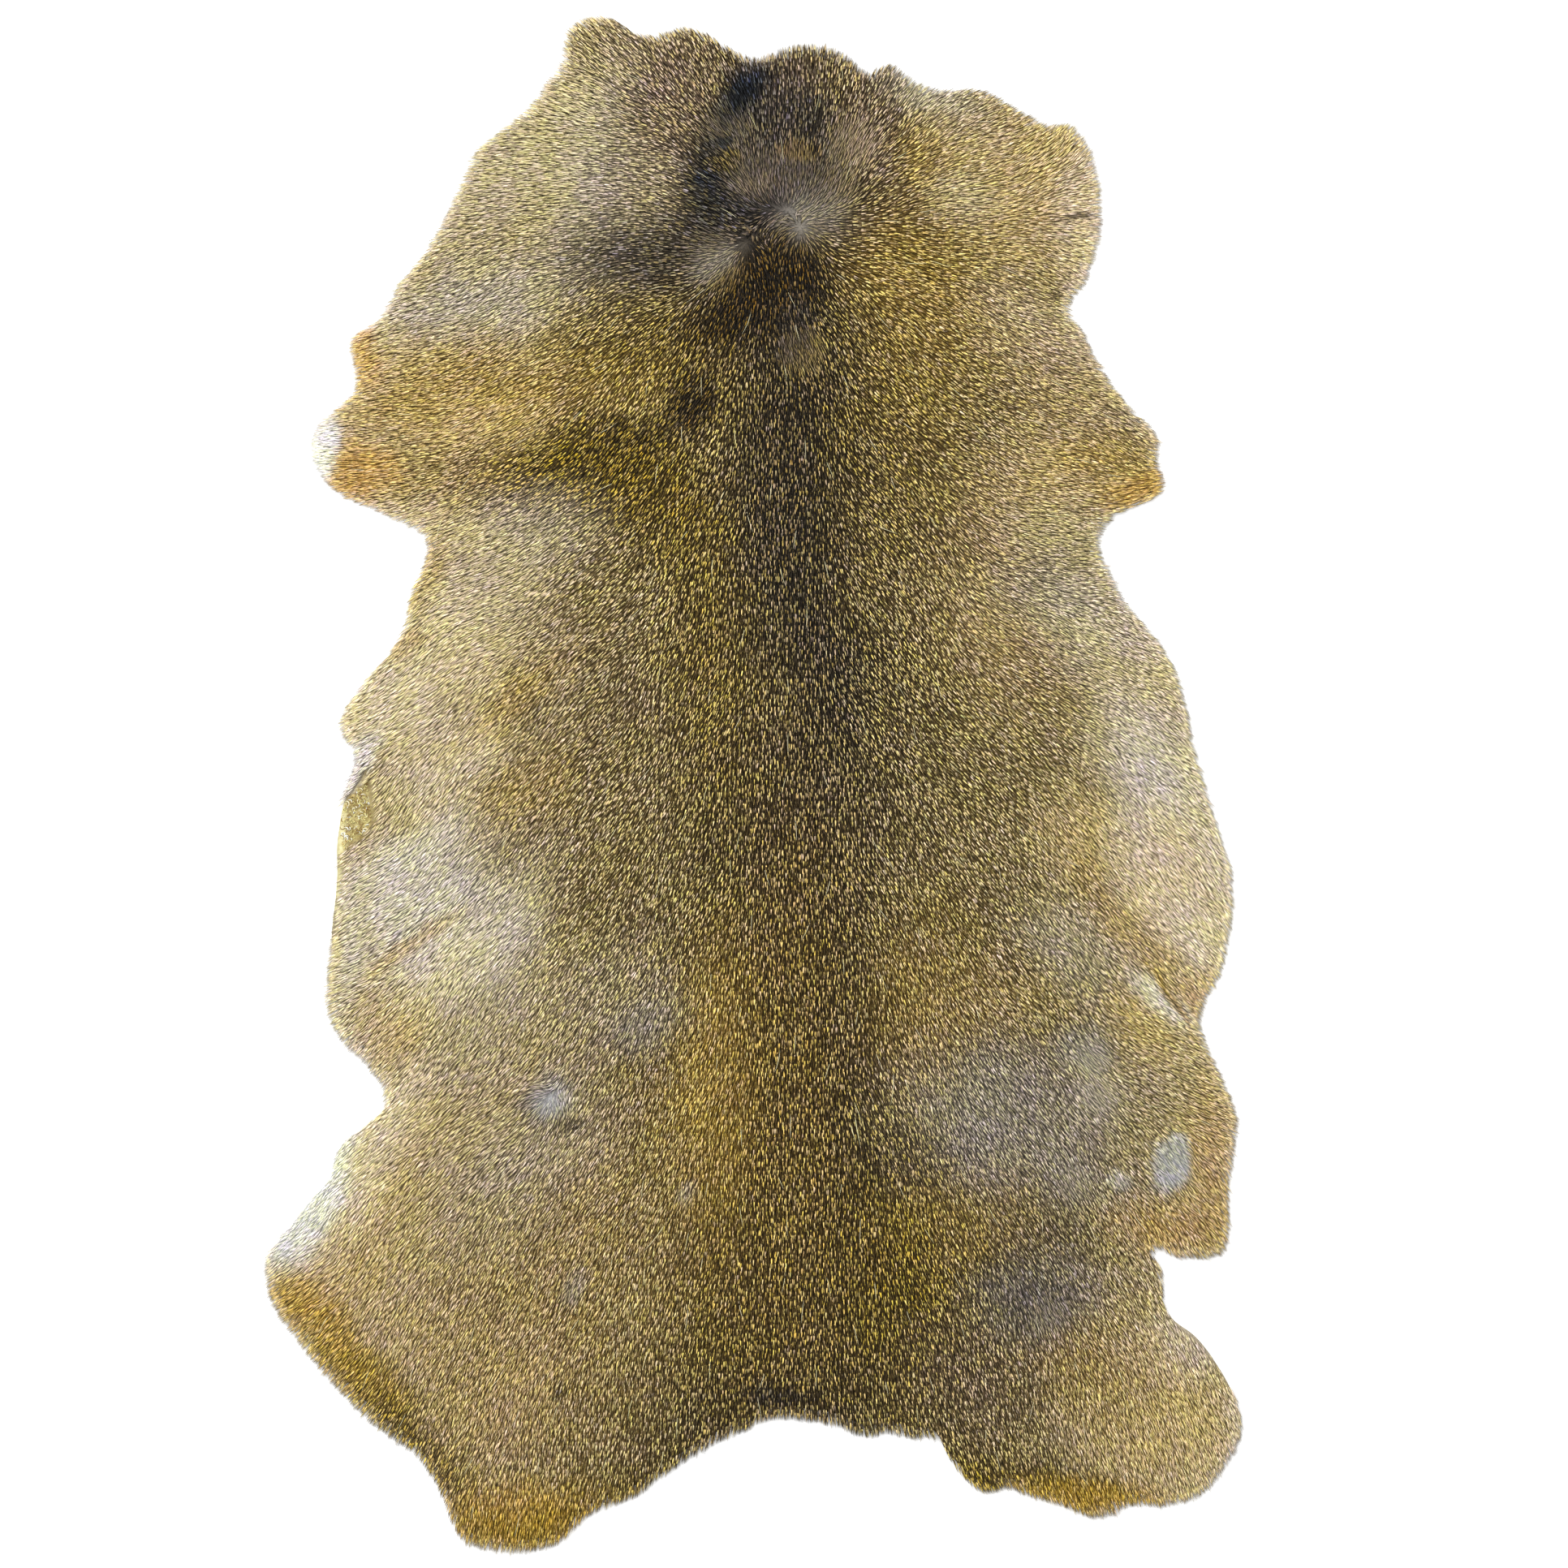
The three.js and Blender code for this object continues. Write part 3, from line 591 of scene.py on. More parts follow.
class Lie:
    """How the hide lies: its rim, the heights of its coat and skin, and the lie of its hair."""

    def __init__(self, node):
        bare = even_line(solid_rim(node), RIM_STEP)
        self.rim = smooth_line(bare, RIM_STEP, RIM_SMOOTHING)
        low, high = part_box("hide")
        corner = np.array(low[:2]) - FIELD_MARGIN
        counts = np.ceil((np.array(high[:2]) + FIELD_MARGIN - corner) / FIELD_STEP).astype(int) + 1
        axes = [corner[k] + FIELD_STEP * np.arange(counts[k]) for k in (0, 1)]
        grid = np.stack(np.meshgrid(*axes, indexing="ij"), -1)
        far = distance_to_line(grid, self.rim, closed=True)
        self.depth = Field(corner, np.where(inside(grid, self.rim), far, -far))
        self.inwards = self.depth.slope()
        top = self.read_tops(node, grid)
        self.top = Field(corner, blurred(top, TOP_BLUR))
        lift = np.clip(blurred(top, FOLD_BLUR) - TYPICAL_TOP, 0, MOST_FOLD)
        self.fold = Field(corner, lift * soft_step(self.depth.values / FOLD_RISE))
        self.comb = Field(corner, self.combed(grid))

    def read_tops(self, node, grid):
        """The solid's top height under each grid point, and the rim's height beside it."""
        corners = [v.co for v in node.data.vertices]
        tree = BVHTree.FromPolygons(corners, [p.vertices for p in node.data.polygons])
        above = 0.1
        top = np.full(grid.shape[:2], RIM_TOP)
        for i, j in np.ndindex(top.shape):
            hit = tree.ray_cast(Vector((grid[i, j, 0], grid[i, j, 1], above)), Vector((0, 0, -1)))
            if hit[0]:
                top[i, j] = hit[0].z
        return top

    def combed(self, grid):
        """Where the hair's tips point at each grid point."""
        spots = pixels_of(grid)
        total = np.zeros(grid.shape)
        for across, down, degrees in COMB:
            gap = (spots[..., 0] - across) ** 2 + (spots[..., 1] - down) ** 2
            angle = math.radians(degrees)
            weight = 1 / (gap / COMB_REACH**2 + 1) ** 2
            total += weight[..., None] * np.array([math.cos(angle), math.sin(angle)])
        total = unit(total)
        for across, down, reach in WHORLS:
            away = (spots - np.array([across, down])) * np.array([1, -1])
            gap = np.linalg.norm(away, axis=-1, keepdims=True)
            total += WHORL_STRENGTH * np.exp(-((gap / reach) ** 2)) * away / (gap + WHORL_EYE)
        return unit(total)

    def skin_top(self, places):
        """Height of the skin's hair side."""
        return skin_thickness() + self.fold.at(places)

    def hairline(self, places, lie):
        """How far in from the rim the skin ends, where hair lies that way."""
        outwards = -unit(self.inwards.at(places))
        facing = np.clip((lie * outwards).sum(-1), 0, 1)
        lip = soft_step(distance_to_line(places, placed(LIP)) / LIP_CALM)
        return (HAIRLINE[0] + HAIRLINE[1] * facing * lip) * MM


@functools.cache
def hide_lie():
    """The lie of this hide, worked out once."""
    return Lie(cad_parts["hide"])


def skin_thickness():
    """Thickness of the tanned skin, in metres."""
    return bpy.context.scene.deerhide_sizes.skin_thickness


@functools.cache
def linear_tones():
    """Each tone's light, its ground and its share of banded coat, as seven numbers."""
    return {
        name: np.array([*linear(light), *linear(ground), share])
        for name, (light, ground, share) in TONES.items()
    }


def wandering(places):
    """The pixels of places, moved a little so that the edges of patches are uneven."""

    def moved(seed, most, width, further):
        return most * lumps(places, width, seed + further)

    moves = [moved(seed, *WANDER_WIDE) + moved(seed, *WANDER_SMALL) for seed in (11, 12)]
    return pixels_of(places) + np.stack(moves, -1)


def coat_tones(places):
    """The coat's tones at places on the floor: light, ground, and the share that shows light bands."""
    spots = wandering(places)
    tones = linear_tones()
    down = spots[:, 1]
    stripe = [np.interp(down, [row[0] for row in STRIPE], [row[k] for row in STRIPE]) for k in (1, 2, 3)]
    middle, half_width, strength = stripe
    sideways = np.abs(spots[:, 0] - middle)
    stations = [at for at, _ in BASE]
    coat = np.stack(
        [np.interp(sideways, stations, [tones[tone][k] for _, tone in BASE]) for k in range(7)], -1
    )

    def paint(mask, tone):
        coat[:] += (tones[tone] - coat) * mask[:, None]

    def between(value, span):
        return soft_step((value - span[0]) / (span[1] - span[0]))

    paint(strength * np.exp(-0.5 * (sideways / (STRIPE_SPREAD * half_width)) ** 2), "back")
    edge = soft_step(1 - hide_lie().depth.at(places) / PALE_RIM)
    edge = PALE_RIM_STRENGTH * edge
    paint(edge * between(down, PALE_RIM_GOES[::-1]) * between(down, PALE_RIM_COMES), "cream")
    for _, across, low, length, width, heading, tone, strength, softness in PATCHES:
        angle = math.radians(heading)
        dx, dy = spots[:, 0] - across, low - spots[:, 1]
        along = (dx * math.cos(angle) + dy * math.sin(angle)) / length
        aside = (dy * math.cos(angle) - dx * math.sin(angle)) / width
        reach = np.sqrt(along**2 + aside**2)
        paint(strength * soft_step((1 + softness - reach) / (2 * softness)), tone)
    return coat[:, :3], coat[:, 3:6], coat[:, 6]


def fineness(places):
    """How fine and soft the hair is at each place, from 0 to 1."""
    spots = pixels_of(places)
    fine = np.zeros(len(places))
    for across, down, size in FINE_HAIR:
        reach = np.hypot(spots[:, 0] - across, spots[:, 1] - down) / size
        # Whole up to half the size, and gone a third beyond it
        fine = np.maximum(fine, soft_step(1.6 - 1.2 * reach))
    return fine


def is_bare(places):
    """Where the skin has lost its hair."""
    return inside(places, placed(BARE_PATCH)) | inside(places, placed(BARE_STRIP))


def distance_to_bare(places):
    """How far each place is from the edge of the bare skin."""
    patch = distance_to_line(places, placed(BARE_PATCH), closed=True)
    strip = distance_to_line(places, placed(BARE_STRIP), closed=True)
    return np.minimum(patch, strip)


def well_inside_bare(places):
    """Where the bare skin lies clear of the hair that hangs over its edge."""
    return is_bare(places) & (distance_to_bare(places) > BARE_CLEAR)


def crosses_lip(start, end):
    """Which of these hairs would cross the lip's cut edge."""
    crossed = np.zeros(len(start), bool)
    line = placed(LIP)

    def side_of(a, b, c):
        ahead, away = b - a, c - a
        return ahead[..., 0] * away[..., 1] - ahead[..., 1] * away[..., 0]

    for a, b in zip(line, line[1:]):
        first = side_of(a, b, start) * side_of(a, b, end) < 0
        second = side_of(start, end, a) * side_of(start, end, b) < 0
        crossed |= first & second
    return crossed


def scattered(spacing, rng):
    """Uneven root places over the hide's box, about that far apart."""
    low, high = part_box("hide")
    rows = np.arange(low[1], high[1], spacing * math.sqrt(0.75))
    columns = np.arange(low[0], high[0], spacing)
    x, y = np.meshgrid(columns, rows)
    x = x + (np.arange(len(rows)) % 2 * spacing / 2)[:, None]
    places = np.stack([x.ravel(), y.ravel()], -1)
    return places + rng.uniform(-ROOT_STRAY, ROOT_STRAY, places.shape) * spacing


def turned(vectors, degrees):
    """Flat vectors turned by so many degrees each."""
    angle = np.radians(degrees)
    cos, sin = np.cos(angle), np.sin(angle)
    x, y = vectors[:, 0], vectors[:, 1]
    return np.stack([x * cos - y * sin, x * sin + y * cos], -1)


def nearest_tuft(places, towards):
    """The tuft at each place: how far ahead and how far aside its middle is, and its two chances."""
    cell = np.floor(places / TUFT_CELL).astype(int)
    sideways = left_of(towards)
    table = np.random.default_rng(41).uniform(0, 1, (TUFT_TABLE, TUFT_TABLE, 4))
    least = np.full(len(places), np.inf)
    found = np.zeros((len(places), 4))
    for step in itertools.product(range(-2, 3), repeat=2):
        square = cell + step
        own = table[square[:, 0] % TUFT_TABLE, square[:, 1] % TUFT_TABLE]
        # A tuft's middle lies in the inner half of its square
        gap = (square + 0.25 + 0.5 * own[:, :2]) * TUFT_CELL - places
        ahead, aside = (gap * towards).sum(-1), (gap * sideways).sum(-1)
        reach = np.hypot(ahead / TUFT_STRETCH, aside)
        nearer = reach < least
        least[nearer] = reach[nearer]
        found[nearer] = np.stack([ahead, aside, own[:, 2], own[:, 3]], -1)[nearer]
    return found.T


def evened(places, values):
    """The values without their small clumps, so that light and dark locks alternate."""
    spot = ((places - places.min(0)) / EVENING_CELL).astype(int)
    shape = tuple(spot.max(0) + 1)
    flat = np.ravel_multi_index(spot.T, shape)
    counts = np.bincount(flat, minlength=math.prod(shape)).reshape(shape)
    totals = np.bincount(flat, values, math.prod(shape)).reshape(shape)
    near, far = [blurred(totals, reach) / (blurred(counts, reach) + 1e-3) for reach in EVENING_REACH]
    near, far = near.ravel()[flat], far.ravel()[flat]
    return far + EVENING_GAIN * (values - far - EVENING * (near - far))


def some_of(locks, which):
    """Only these locks, in all of their arrays."""
    return SimpleNamespace(**{name: rows[which] for name, rows in vars(locks).items()})


def rooted_locks(roots, length, rng):
    """Locks at the roots that the coat covers: their lie, their length and their place in their tuft."""
    lie = hide_lie()
    sway, width = SWAY
    towards = turned(unit(lie.comb.at(roots)), sway * lumps(roots, width, 31))
    fine = fineness(roots)
    own = length * (1 - FINE_SHORTER * fine)
    seen = roots + BAND_MIDDLE * own[:, None] * towards
    ahead, aside, tuft_chance, tuft_hue = nearest_tuft(seen, towards)
    towards = turned(towards, rng.normal(0, STRAY_ANGLE, len(roots)))
    depth = lie.depth.at(roots)
    locks = SimpleNamespace(root=roots, towards=towards, depth=depth, fine=fine, own=own, seen=seen)
    locks.ahead, locks.aside, locks.tuft_chance, locks.tuft_hue = ahead, aside, tuft_chance, tuft_hue
    return some_of(locks, (depth > lie.hairline(roots, towards)) & ~is_bare(roots))


def lay_locks(locks, overhang, rng):
    """Gives the locks their reach, their bend and their tips, held to the rim and to the lip's cut edge."""
    lie = hide_lie()
    count = len(locks.root)
    reach = locks.own * rng.uniform(*LENGTHS, count)
    further = lie.comb.at(locks.root + LOOK_AHEAD * reach[:, None] * locks.towards)
    onward = unit(locks.towards + ONWARD * unit(further))
    outside = lie.depth.at(locks.root + reach[:, None] * onward)
    # Few locks use all of the overhang
    allowed = overhang * rng.uniform(0, 1, count) ** 1.5
    fall = np.maximum(locks.depth - outside, 1e-6)
    held = reach * np.clip((locks.depth + allowed) / fall, 0.05, 1)
    reach = np.where(outside < -allowed, held, reach)
    bent = unit(BEND * locks.towards + (1 - BEND) * onward)
    crossing = crosses_lip(locks.root, locks.root + reach[:, None] * bent)
    reach = np.where(crossing, LIP_SHORTER, 1) * reach
    locks.reach = reach
    locks.middle = locks.root + BEND * reach[:, None] * locks.towards
    locks.tip = locks.root + reach[:, None] * bent
    locks.chance = rng.uniform(0, 1, count)


def tint_locks(locks, rng):
    """Gives the locks their light and ground tones, and the start and end of their light bands."""
    fine, own = locks.fine, locks.own
    light, ground, share = coat_tones(locks.seen)
    locks.ground = ground + FINE_PALER * fine[:, None] * (light - ground)
    least, more = DASH_WIDTHS
    off = locks.aside / (DASH_HALF_WIDTH * share * (least + more * locks.tuft_chance))
    half = DASH_HALF_LENGTH * np.sqrt(np.clip(1 - (off / DASH_EDGE) ** 2, 0, 1))
    # Where the hair is fine or all banded, the dashes give way to bands of one length
    even = np.maximum(EVEN_FINE * fine, EVEN_MOST * np.clip((share - EVEN_FROM) / (1 - EVEN_FROM), 0, 1))
    half = half + ((EVEN_BAND[0] + EVEN_BAND[1] * fine) * own - half) * even
    middle = BAND_MIDDLE * own + locks.ahead * (1 - even)
    locks.band = np.stack([middle - half, middle + half], -1) / locks.reach[:, None]
    locks.band[half < SHORTEST_BAND] = NO_BAND
    tone, hue = locks.tuft_chance[:, None], locks.tuft_hue[:, None]
    moved = TONE_SPREAD * (0.5 - tone) + HUE_SPREAD * (hue - 0.5)
    light = light ** (1 + moved * (1 - EVEN_CALMER * even)[:, None])
    strength = soft_step(DASH_EDGE - np.abs(off))
    typical, spread, less = EVEN_LIGHT
    alone = np.clip(rng.normal(typical, spread - less * fine), -0.3, 1.4)
    strength = evened(locks.seen, strength + (alone - strength) * even)
    locks.light = np.clip(locks.ground + (light - locks.ground) * strength[:, None], 0, 1)


def lock_corners(locks, length, width, rng):
    """Each lock's root, left, right and tip."""
    lie = hide_lie()
    count = len(locks.root)
    breadth = width * (1 - FINE_THINNER * locks.fine) * rng.uniform(*WIDTHS, count)
    breadth = breadth * np.clip(locks.reach / length, 0.6, 1)
    aside = left_of(locks.towards) * breadth[:, None] / 2
    rank = 0.55 + 0.45 * rng.uniform(0, 1, count)

    def standing(places, share):
        """Height at that share of the coat's depth over the skin."""
        floor = lie.skin_top(places)
        return floor + np.maximum(lie.top.at(places) - floor, LEAST_COAT) * share

    corners = np.zeros((count, 4, 3))
    corners[:, 0, :2] = locks.root
    corners[:, 1, :2] = locks.middle + aside
    corners[:, 2, :2] = locks.middle - aside
    corners[:, 3, :2] = locks.tip
    corners[:, 0, 2] = lie.skin_top(locks.root) - ROOT_SINK
    lifted = standing(locks.middle, BEND_HEIGHT * rank)
    tilt = rng.normal(0, TILT, count) * breadth
    corners[:, 1, 2] = lifted + tilt
    corners[:, 2, 2] = lifted - tilt
    beyond = lie.depth.at(locks.tip) < 0
    corners[:, 3, 2] = np.where(beyond, rng.uniform(*RIM_TIPS, count) * MM, standing(locks.tip, rank))
    return corners


def grow_locks(roots, length, width, overhang, rng):
    """Locks of hair from roots on the skin, with their corners, their tones and their bands."""
    locks = rooted_locks(roots, length, rng)
    lay_locks(locks, overhang, rng)
    tint_locks(locks, rng)
    crossing = crosses_lip(locks.root, locks.tip) | well_inside_bare(locks.tip)
    locks = some_of(locks, (locks.reach > SHORTEST_LOCK) & ~crossing)
    locks.corners = lock_corners(locks, length, width, rng)
    return locks


def colour_attribute(mesh, name, values):
    """Stores one colour for each of the mesh's points."""
    attribute = mesh.attributes.new(name, "FLOAT_COLOR", "POINT")
    full = np.ones((len(values), 4), np.float32)
    full[:, :3] = values
    attribute.data.foreach_set("color", full.ravel())


def share_attribute(mesh, name, values):
    """Stores one number for each of the mesh's points."""
    mesh.attributes.new(name, "FLOAT", "POINT").data.foreach_set("value", np.asarray(values, np.float32))


def mesh_from(name, points, faces):
    """A mesh from arrays of points and of triangles."""
    mesh = bpy.data.meshes.new(name)
    mesh.vertices.add(len(points))
    mesh.vertices.foreach_set("co", np.asarray(points, np.float32).ravel())
    mesh.loops.add(faces.size)
    mesh.loops.foreach_set("vertex_index", faces.astype(np.int32).ravel())
    mesh.polygons.add(len(faces))
    mesh.polygons.foreach_set("loop_start", np.arange(0, faces.size, 3, dtype=np.int32))
    mesh.update(calc_edges=True)
    mesh.validate()
    return mesh


# One lock's corners are its root, its left, its right and its tip
LOCK_FACES = np.array([[0, 2, 1], [1, 2, 3], [0, 1, 3], [0, 3, 2]])
# Where each face's corners go in the lock's own cell of the unwrapped map: the hair side on the left, the
# underside on the right
LOCK_CELL = np.array(
    [
        [[0.26, 0.05], [0.47, 0.52], [0.05, 0.52]],
        [[0.05, 0.52], [0.47, 0.52], [0.26, 0.95]],
        [[0.74, 0.05], [0.53, 0.52], [0.74, 0.95]],
        [[0.74, 0.05], [0.74, 0.95], [0.95, 0.52]],
    ]
)


def lock_piece(name, locks, material):
    """One piece of many locks, each a closed four-sided sliver."""
    count = len(locks.corners)
    faces = (LOCK_FACES[None] + 4 * np.arange(count)[:, None, None]).reshape(-1, 3)
    mesh = mesh_from(name, locks.corners.reshape(-1, 3), faces)
    colour_attribute(mesh, "light", np.repeat(locks.light, 4, axis=0))
    colour_attribute(mesh, "ground", np.repeat(locks.ground, 4, axis=0))
    left, right = np.tile([0.0, 1.0, 0.0, 0.0], count), np.tile([0.0, 0.0, 1.0, 0.0], count)
    colour_attribute(mesh, "lock", np.stack([left, right, np.repeat(locks.chance, 4)], -1))
    along = np.tile([0.0, BEND, BEND, 1.0], count)
    colour_attribute(mesh, "band", np.stack([*np.repeat(locks.band, 4, axis=0).T, along], -1))
    side = math.ceil(math.sqrt(count))
    cells = np.stack([np.arange(count) % side, np.arange(count) // side], -1)
    spread = (cells[:, None, None] + LOCK_CELL[None]) / side
    layer = mesh.uv_layers.new(name="OFBake")
    layer.uv.foreach_set("vector", spread.astype(np.float32).ravel())
    return hair_piece(mesh, material)


def hair_piece(mesh, material):
    """A hair mesh as a piece of the object, riding on the hide."""
    piece = bpy.data.objects.new(mesh.name, mesh)
    bpy.context.scene.collection.objects.link(piece)
    mesh.materials.append(material)
    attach(piece, "root")
    return piece


def strand_piece(name, paths, radii, light, chance, material, sides=3):
    """One piece of many round strands, each along its own path and closed at both ends."""
    count, stations = paths.shape[:2]
    ahead = unit(np.gradient(paths, axis=1))
    aside = unit(np.cross(ahead, np.array([0.0, 0.0, 1.0])))
    above = np.cross(aside, ahead)
    turns = np.arange(sides) * 2 * math.pi / sides
    ring = aside[:, :, None] * np.cos(turns)[:, None] + above[:, :, None] * np.sin(turns)[:, None]
    points = paths[:, :, None] + ring * radii[:, :, None, None]
    faces = []
    for k in range(stations - 1):
        for s in range(sides):
            a, b = k * sides + s, k * sides + (s + 1) % sides
            faces += [[a, a + sides, b + sides], [a, b + sides, b]]
    last = (stations - 1) * sides
    for s in range(1, sides - 1):
        faces += [[0, s, s + 1], [last, last + s + 1, last + s]]
    faces = np.array(faces)
    each = stations * sides
    every = (faces[None] + each * np.arange(count)[:, None, None]).reshape(-1, 3)
    mesh = mesh_from(name, points.reshape(-1, 3), every)
    colour_attribute(mesh, "light", np.repeat(light, each, axis=0))
    colour_attribute(mesh, "ground", np.repeat(0.7 * light, each, axis=0))
    around = np.tile(np.linspace(0.5, 1, sides), count * stations)
    colour_attribute(mesh, "lock", np.stack([around, 1.5 - around, np.repeat(chance, each)], -1))
    along = np.tile(np.repeat(np.linspace(0, 1, stations), sides), count)
    colour_attribute(mesh, "band", np.stack([np.full(len(along), -1), np.full(len(along), 2), along], -1))
    return hair_piece(mesh, material)


# Shading

BARE_PAINTED_SHADE = (0.16, 0.1, 0.035)  # the dark brown of painted shade in the bare skin's hollows
VEIN = (0.42, 0.3, 0.19)  # the faint veins of the flesh side
NAP_TIPS = (0.9, 0.84, 0.72)  # the tips of its nap


class Shading:
    """A node tree being built."""

    def __init__(self, tree):
        self.tree = tree
        tree.nodes.clear()

    def add(self, kind, settings=None, inputs=None):
        """A new node with its settings, and its inputs as values or as the sockets that feed them."""
        node = self.tree.nodes.new(kind)
        for name, value in (settings or {}).items():
            setattr(node, name, value)
        for name, value in (inputs or {}).items():
            if isinstance(value, bpy.types.NodeSocket):
                self.tree.links.new(value, node.inputs[name])
            else:
                node.inputs[name].default_value = value
        return node

    def sum(self, operation, first, second):
        """The result of one step of arithmetic."""
        return self.add("ShaderNodeMath", {"operation": operation}, {0: first, 1: second}).outputs[0]

    def span(self, value, low, high, to_low, to_high):
        """A value moved softly from one range to another."""
        settings = {"interpolation_type": "SMOOTHSTEP"}
        inputs = {"Value": value, "From Min": low, "From Max": high, "To Min": to_low, "To Max": to_high}
        return self.add("ShaderNodeMapRange", settings, inputs).outputs["Result"]

    def mixed(self, share, first, second, blend="MIX"):
        """Two colours mixed."""
        settings = {"data_type": "RGBA", "blend_type": blend}
        node = self.add("ShaderNodeMix", settings, {0: share, 6: first, 7: second})
        return node.outputs[2]

    def noise(self, place, scale, detail=2.0, roughness=0.5):
        """Soft noise over a place."""
        inputs = {"Vector": place, "Scale": scale, "Detail": detail, "Roughness": roughness}
        return self.add("ShaderNodeTexNoise", {"noise_dimensions": "3D"}, inputs).outputs[0]

    def attribute(self, name, output="Color"):
        """One of the piece's own attributes."""
        return self.add("ShaderNodeAttribute", {"attribute_name": name}).outputs[output]

    def place(self):
        """The place on the piece."""
        return self.add("ShaderNodeTexCoord").outputs["Object"]

    def mottle(self, place, scale):
        """The hide's mottle at that scale, as a mask."""
        given = {"Place": place, "Scale": scale}
        return self.add("ShaderNodeGroup", {"node_tree": mottle_group()}, given).outputs["Mask"]

    def grey(self, value):
        """A value as a grey."""
        return self.add("ShaderNodeCombineColor", None, {0: value, 1: value, 2: value}).outputs[0]

    def bump(self, strength, distance, height):
        """The normal of a surface with these small heights."""
        inputs = {"Strength": strength, "Distance": distance, "Height": height}
        return self.add("ShaderNodeBump", None, inputs).outputs[0]

    def finish(self, colour, roughness, normal=None, values=None):
        """The surface shader and the material's output."""
        inputs = {"Base Color": colour, "Roughness": roughness, **(values or {})}
        if normal is not None:
            inputs["Normal"] = normal
        shader = self.add("ShaderNodeBsdfPrincipled", None, inputs)
        self.add("ShaderNodeOutputMaterial", None, {"Surface": shader.outputs[0]})


def blank_material(name):
    """A new material and its shading, still empty."""
    material = bpy.data.materials.new(name)
    material.use_nodes = True
    return material, Shading(material.node_tree)


def group(name, inputs, outputs):
    """A new node group with its sockets, its shading and its two ends."""
    tree = bpy.data.node_groups.new(name, "ShaderNodeTree")
    for label, kind in inputs:
        tree.interface.new_socket(label, in_out="INPUT", socket_type=kind)
    for label, kind in outputs:
        tree.interface.new_socket(label, in_out="OUTPUT", socket_type=kind)
    shading = Shading(tree)
    return tree, shading, shading.add("NodeGroupInput").outputs


@functools.cache
def mottle_group():
    """Large and small uneven patches over a hide, as one mask from 0 to 1."""
    tree, shading, given = group(
        "hide_mottle",
        [("Place", "NodeSocketVector"), ("Scale", "NodeSocketFloat")],
        [("Mask", "NodeSocketFloat")],
    )
    wide = shading.noise(given["Place"], given["Scale"], 3.0, 0.55)
    small = shading.noise(given["Place"], shading.sum("MULTIPLY", given["Scale"], 4.3), 2.0, 0.6)
    both = shading.sum("ADD", shading.sum("MULTIPLY", wide, 0.65), shading.sum("MULTIPLY", small, 0.35))
    shading.add("NodeGroupOutput", None, {"Mask": shading.span(both, 0.36, 0.64, 0.0, 1.0)})
    return tree


@functools.cache
def band_group():
    """The light band of a banded hair, with painted shade along the lock's sides, its fibres and its own two
    chances, from the piece's attributes.
    """
    tree, shading, given = group(
        "hair_band",
        [("Lock", "NodeSocketVector"), ("Band", "NodeSocketVector")],
        [
            ("Light", "NodeSocketFloat"),
            ("Fibre", "NodeSocketFloat"),
            ("Hue", "NodeSocketFloat"),
            ("Bright", "NodeSocketFloat"),
        ],
    )
    left, right, chance = shading.add("ShaderNodeSeparateXYZ", None, {0: given["Lock"]}).outputs[:]
    first, last, along = shading.add("ShaderNodeSeparateXYZ", None, {0: given["Band"]}).outputs[:]
    bright = shading.sum("FRACT", shading.sum("MULTIPLY", chance, 37.7), 0.0)
    hue = shading.span(shading.sum("FRACT", shading.sum("MULTIPLY", chance, 91.3), 0.0), 0.2, 0.8, 0.0, 1.0)
    start = shading.span(shading.sum("SUBTRACT", along, first), -0.03, 0.05, 0.0, 1.0)
    end = shading.span(shading.sum("SUBTRACT", along, last), -0.05, 0.03, 1.0, 0.0)
    # Painted shade: the light band fades toward the ground tone at the lock's two sides, standing for the
    # shade between neighbouring locks
    painted_side_shade = shading.span(shading.sum("MINIMUM", left, right), 0.0, 0.12, 0.4, 1.0)
    light = shading.sum("MULTIPLY", shading.sum("MULTIPLY", start, end), painted_side_shade)
    across = shading.sum("SUBTRACT", right, left)
    spot = shading.add("ShaderNodeCombineXYZ", None, {0: across, 1: along, 2: chance})
    stretched = shading.add(
        "ShaderNodeVectorMath", {"operation": "MULTIPLY"}, {0: spot.outputs[0], 1: (2.6, 1.4, 90.0)}
    )
    fibre = shading.span(shading.noise(stretched.outputs[0], 1.0, 2.0), 0.32, 0.68, 0.0, 1.0)
    shading.add("NodeGroupOutput", None, {"Light": light, "Fibre": fibre, "Hue": hue, "Bright": bright})
    return tree


def hair_material(name, gloss):
    """Banded hair in the piece's own tones."""
    material, shading = blank_material(name)
    given = {"Lock": shading.attribute("lock", "Vector"), "Band": shading.attribute("band", "Vector")}
    band = shading.add("ShaderNodeGroup", {"node_tree": band_group()}, given).outputs
    light, fibre = band["Light"], band["Fibre"]
    own = shading.mixed(band["Hue"], (0.97, 1.0, 0.8, 1), (1.04, 0.98, 1.06, 1))
    banded = shading.mixed(1.0, shading.attribute("light"), own, "MULTIPLY")
    # The band's share here includes the painted shade at the locks' sides
    shade = shading.mixed(light, shading.attribute("ground"), banded)
    warm = shading.mixed(1.0, shade, (1.03, 1.0, 0.8, 1), "MULTIPLY")
    cool = shading.mixed(1.0, shade, (1.0, 0.94, 0.98, 1), "MULTIPLY")
    hue = shading.mixed(shading.mottle(shading.place(), 30.0), warm, cool)
    fibres = shading.span(fibre, 0.0, 1.0, 0.66, 0.98)
    dim = shading.sum("ADD", fibres, shading.sum("MULTIPLY", band["Bright"], 0.36))
    colour = shading.mixed(1.0, hue, shading.grey(dim), "MULTIPLY")
    rough = shading.span(fibre, 0.0, 1.0, 0.72, 0.5)
    values = {"Specular IOR Level": 0.25, "Sheen Weight": gloss, "Sheen Roughness": 0.5}
    shading.finish(colour, rough, shading.bump(0.25, 0.2 * MM, fibre), values)
    return material


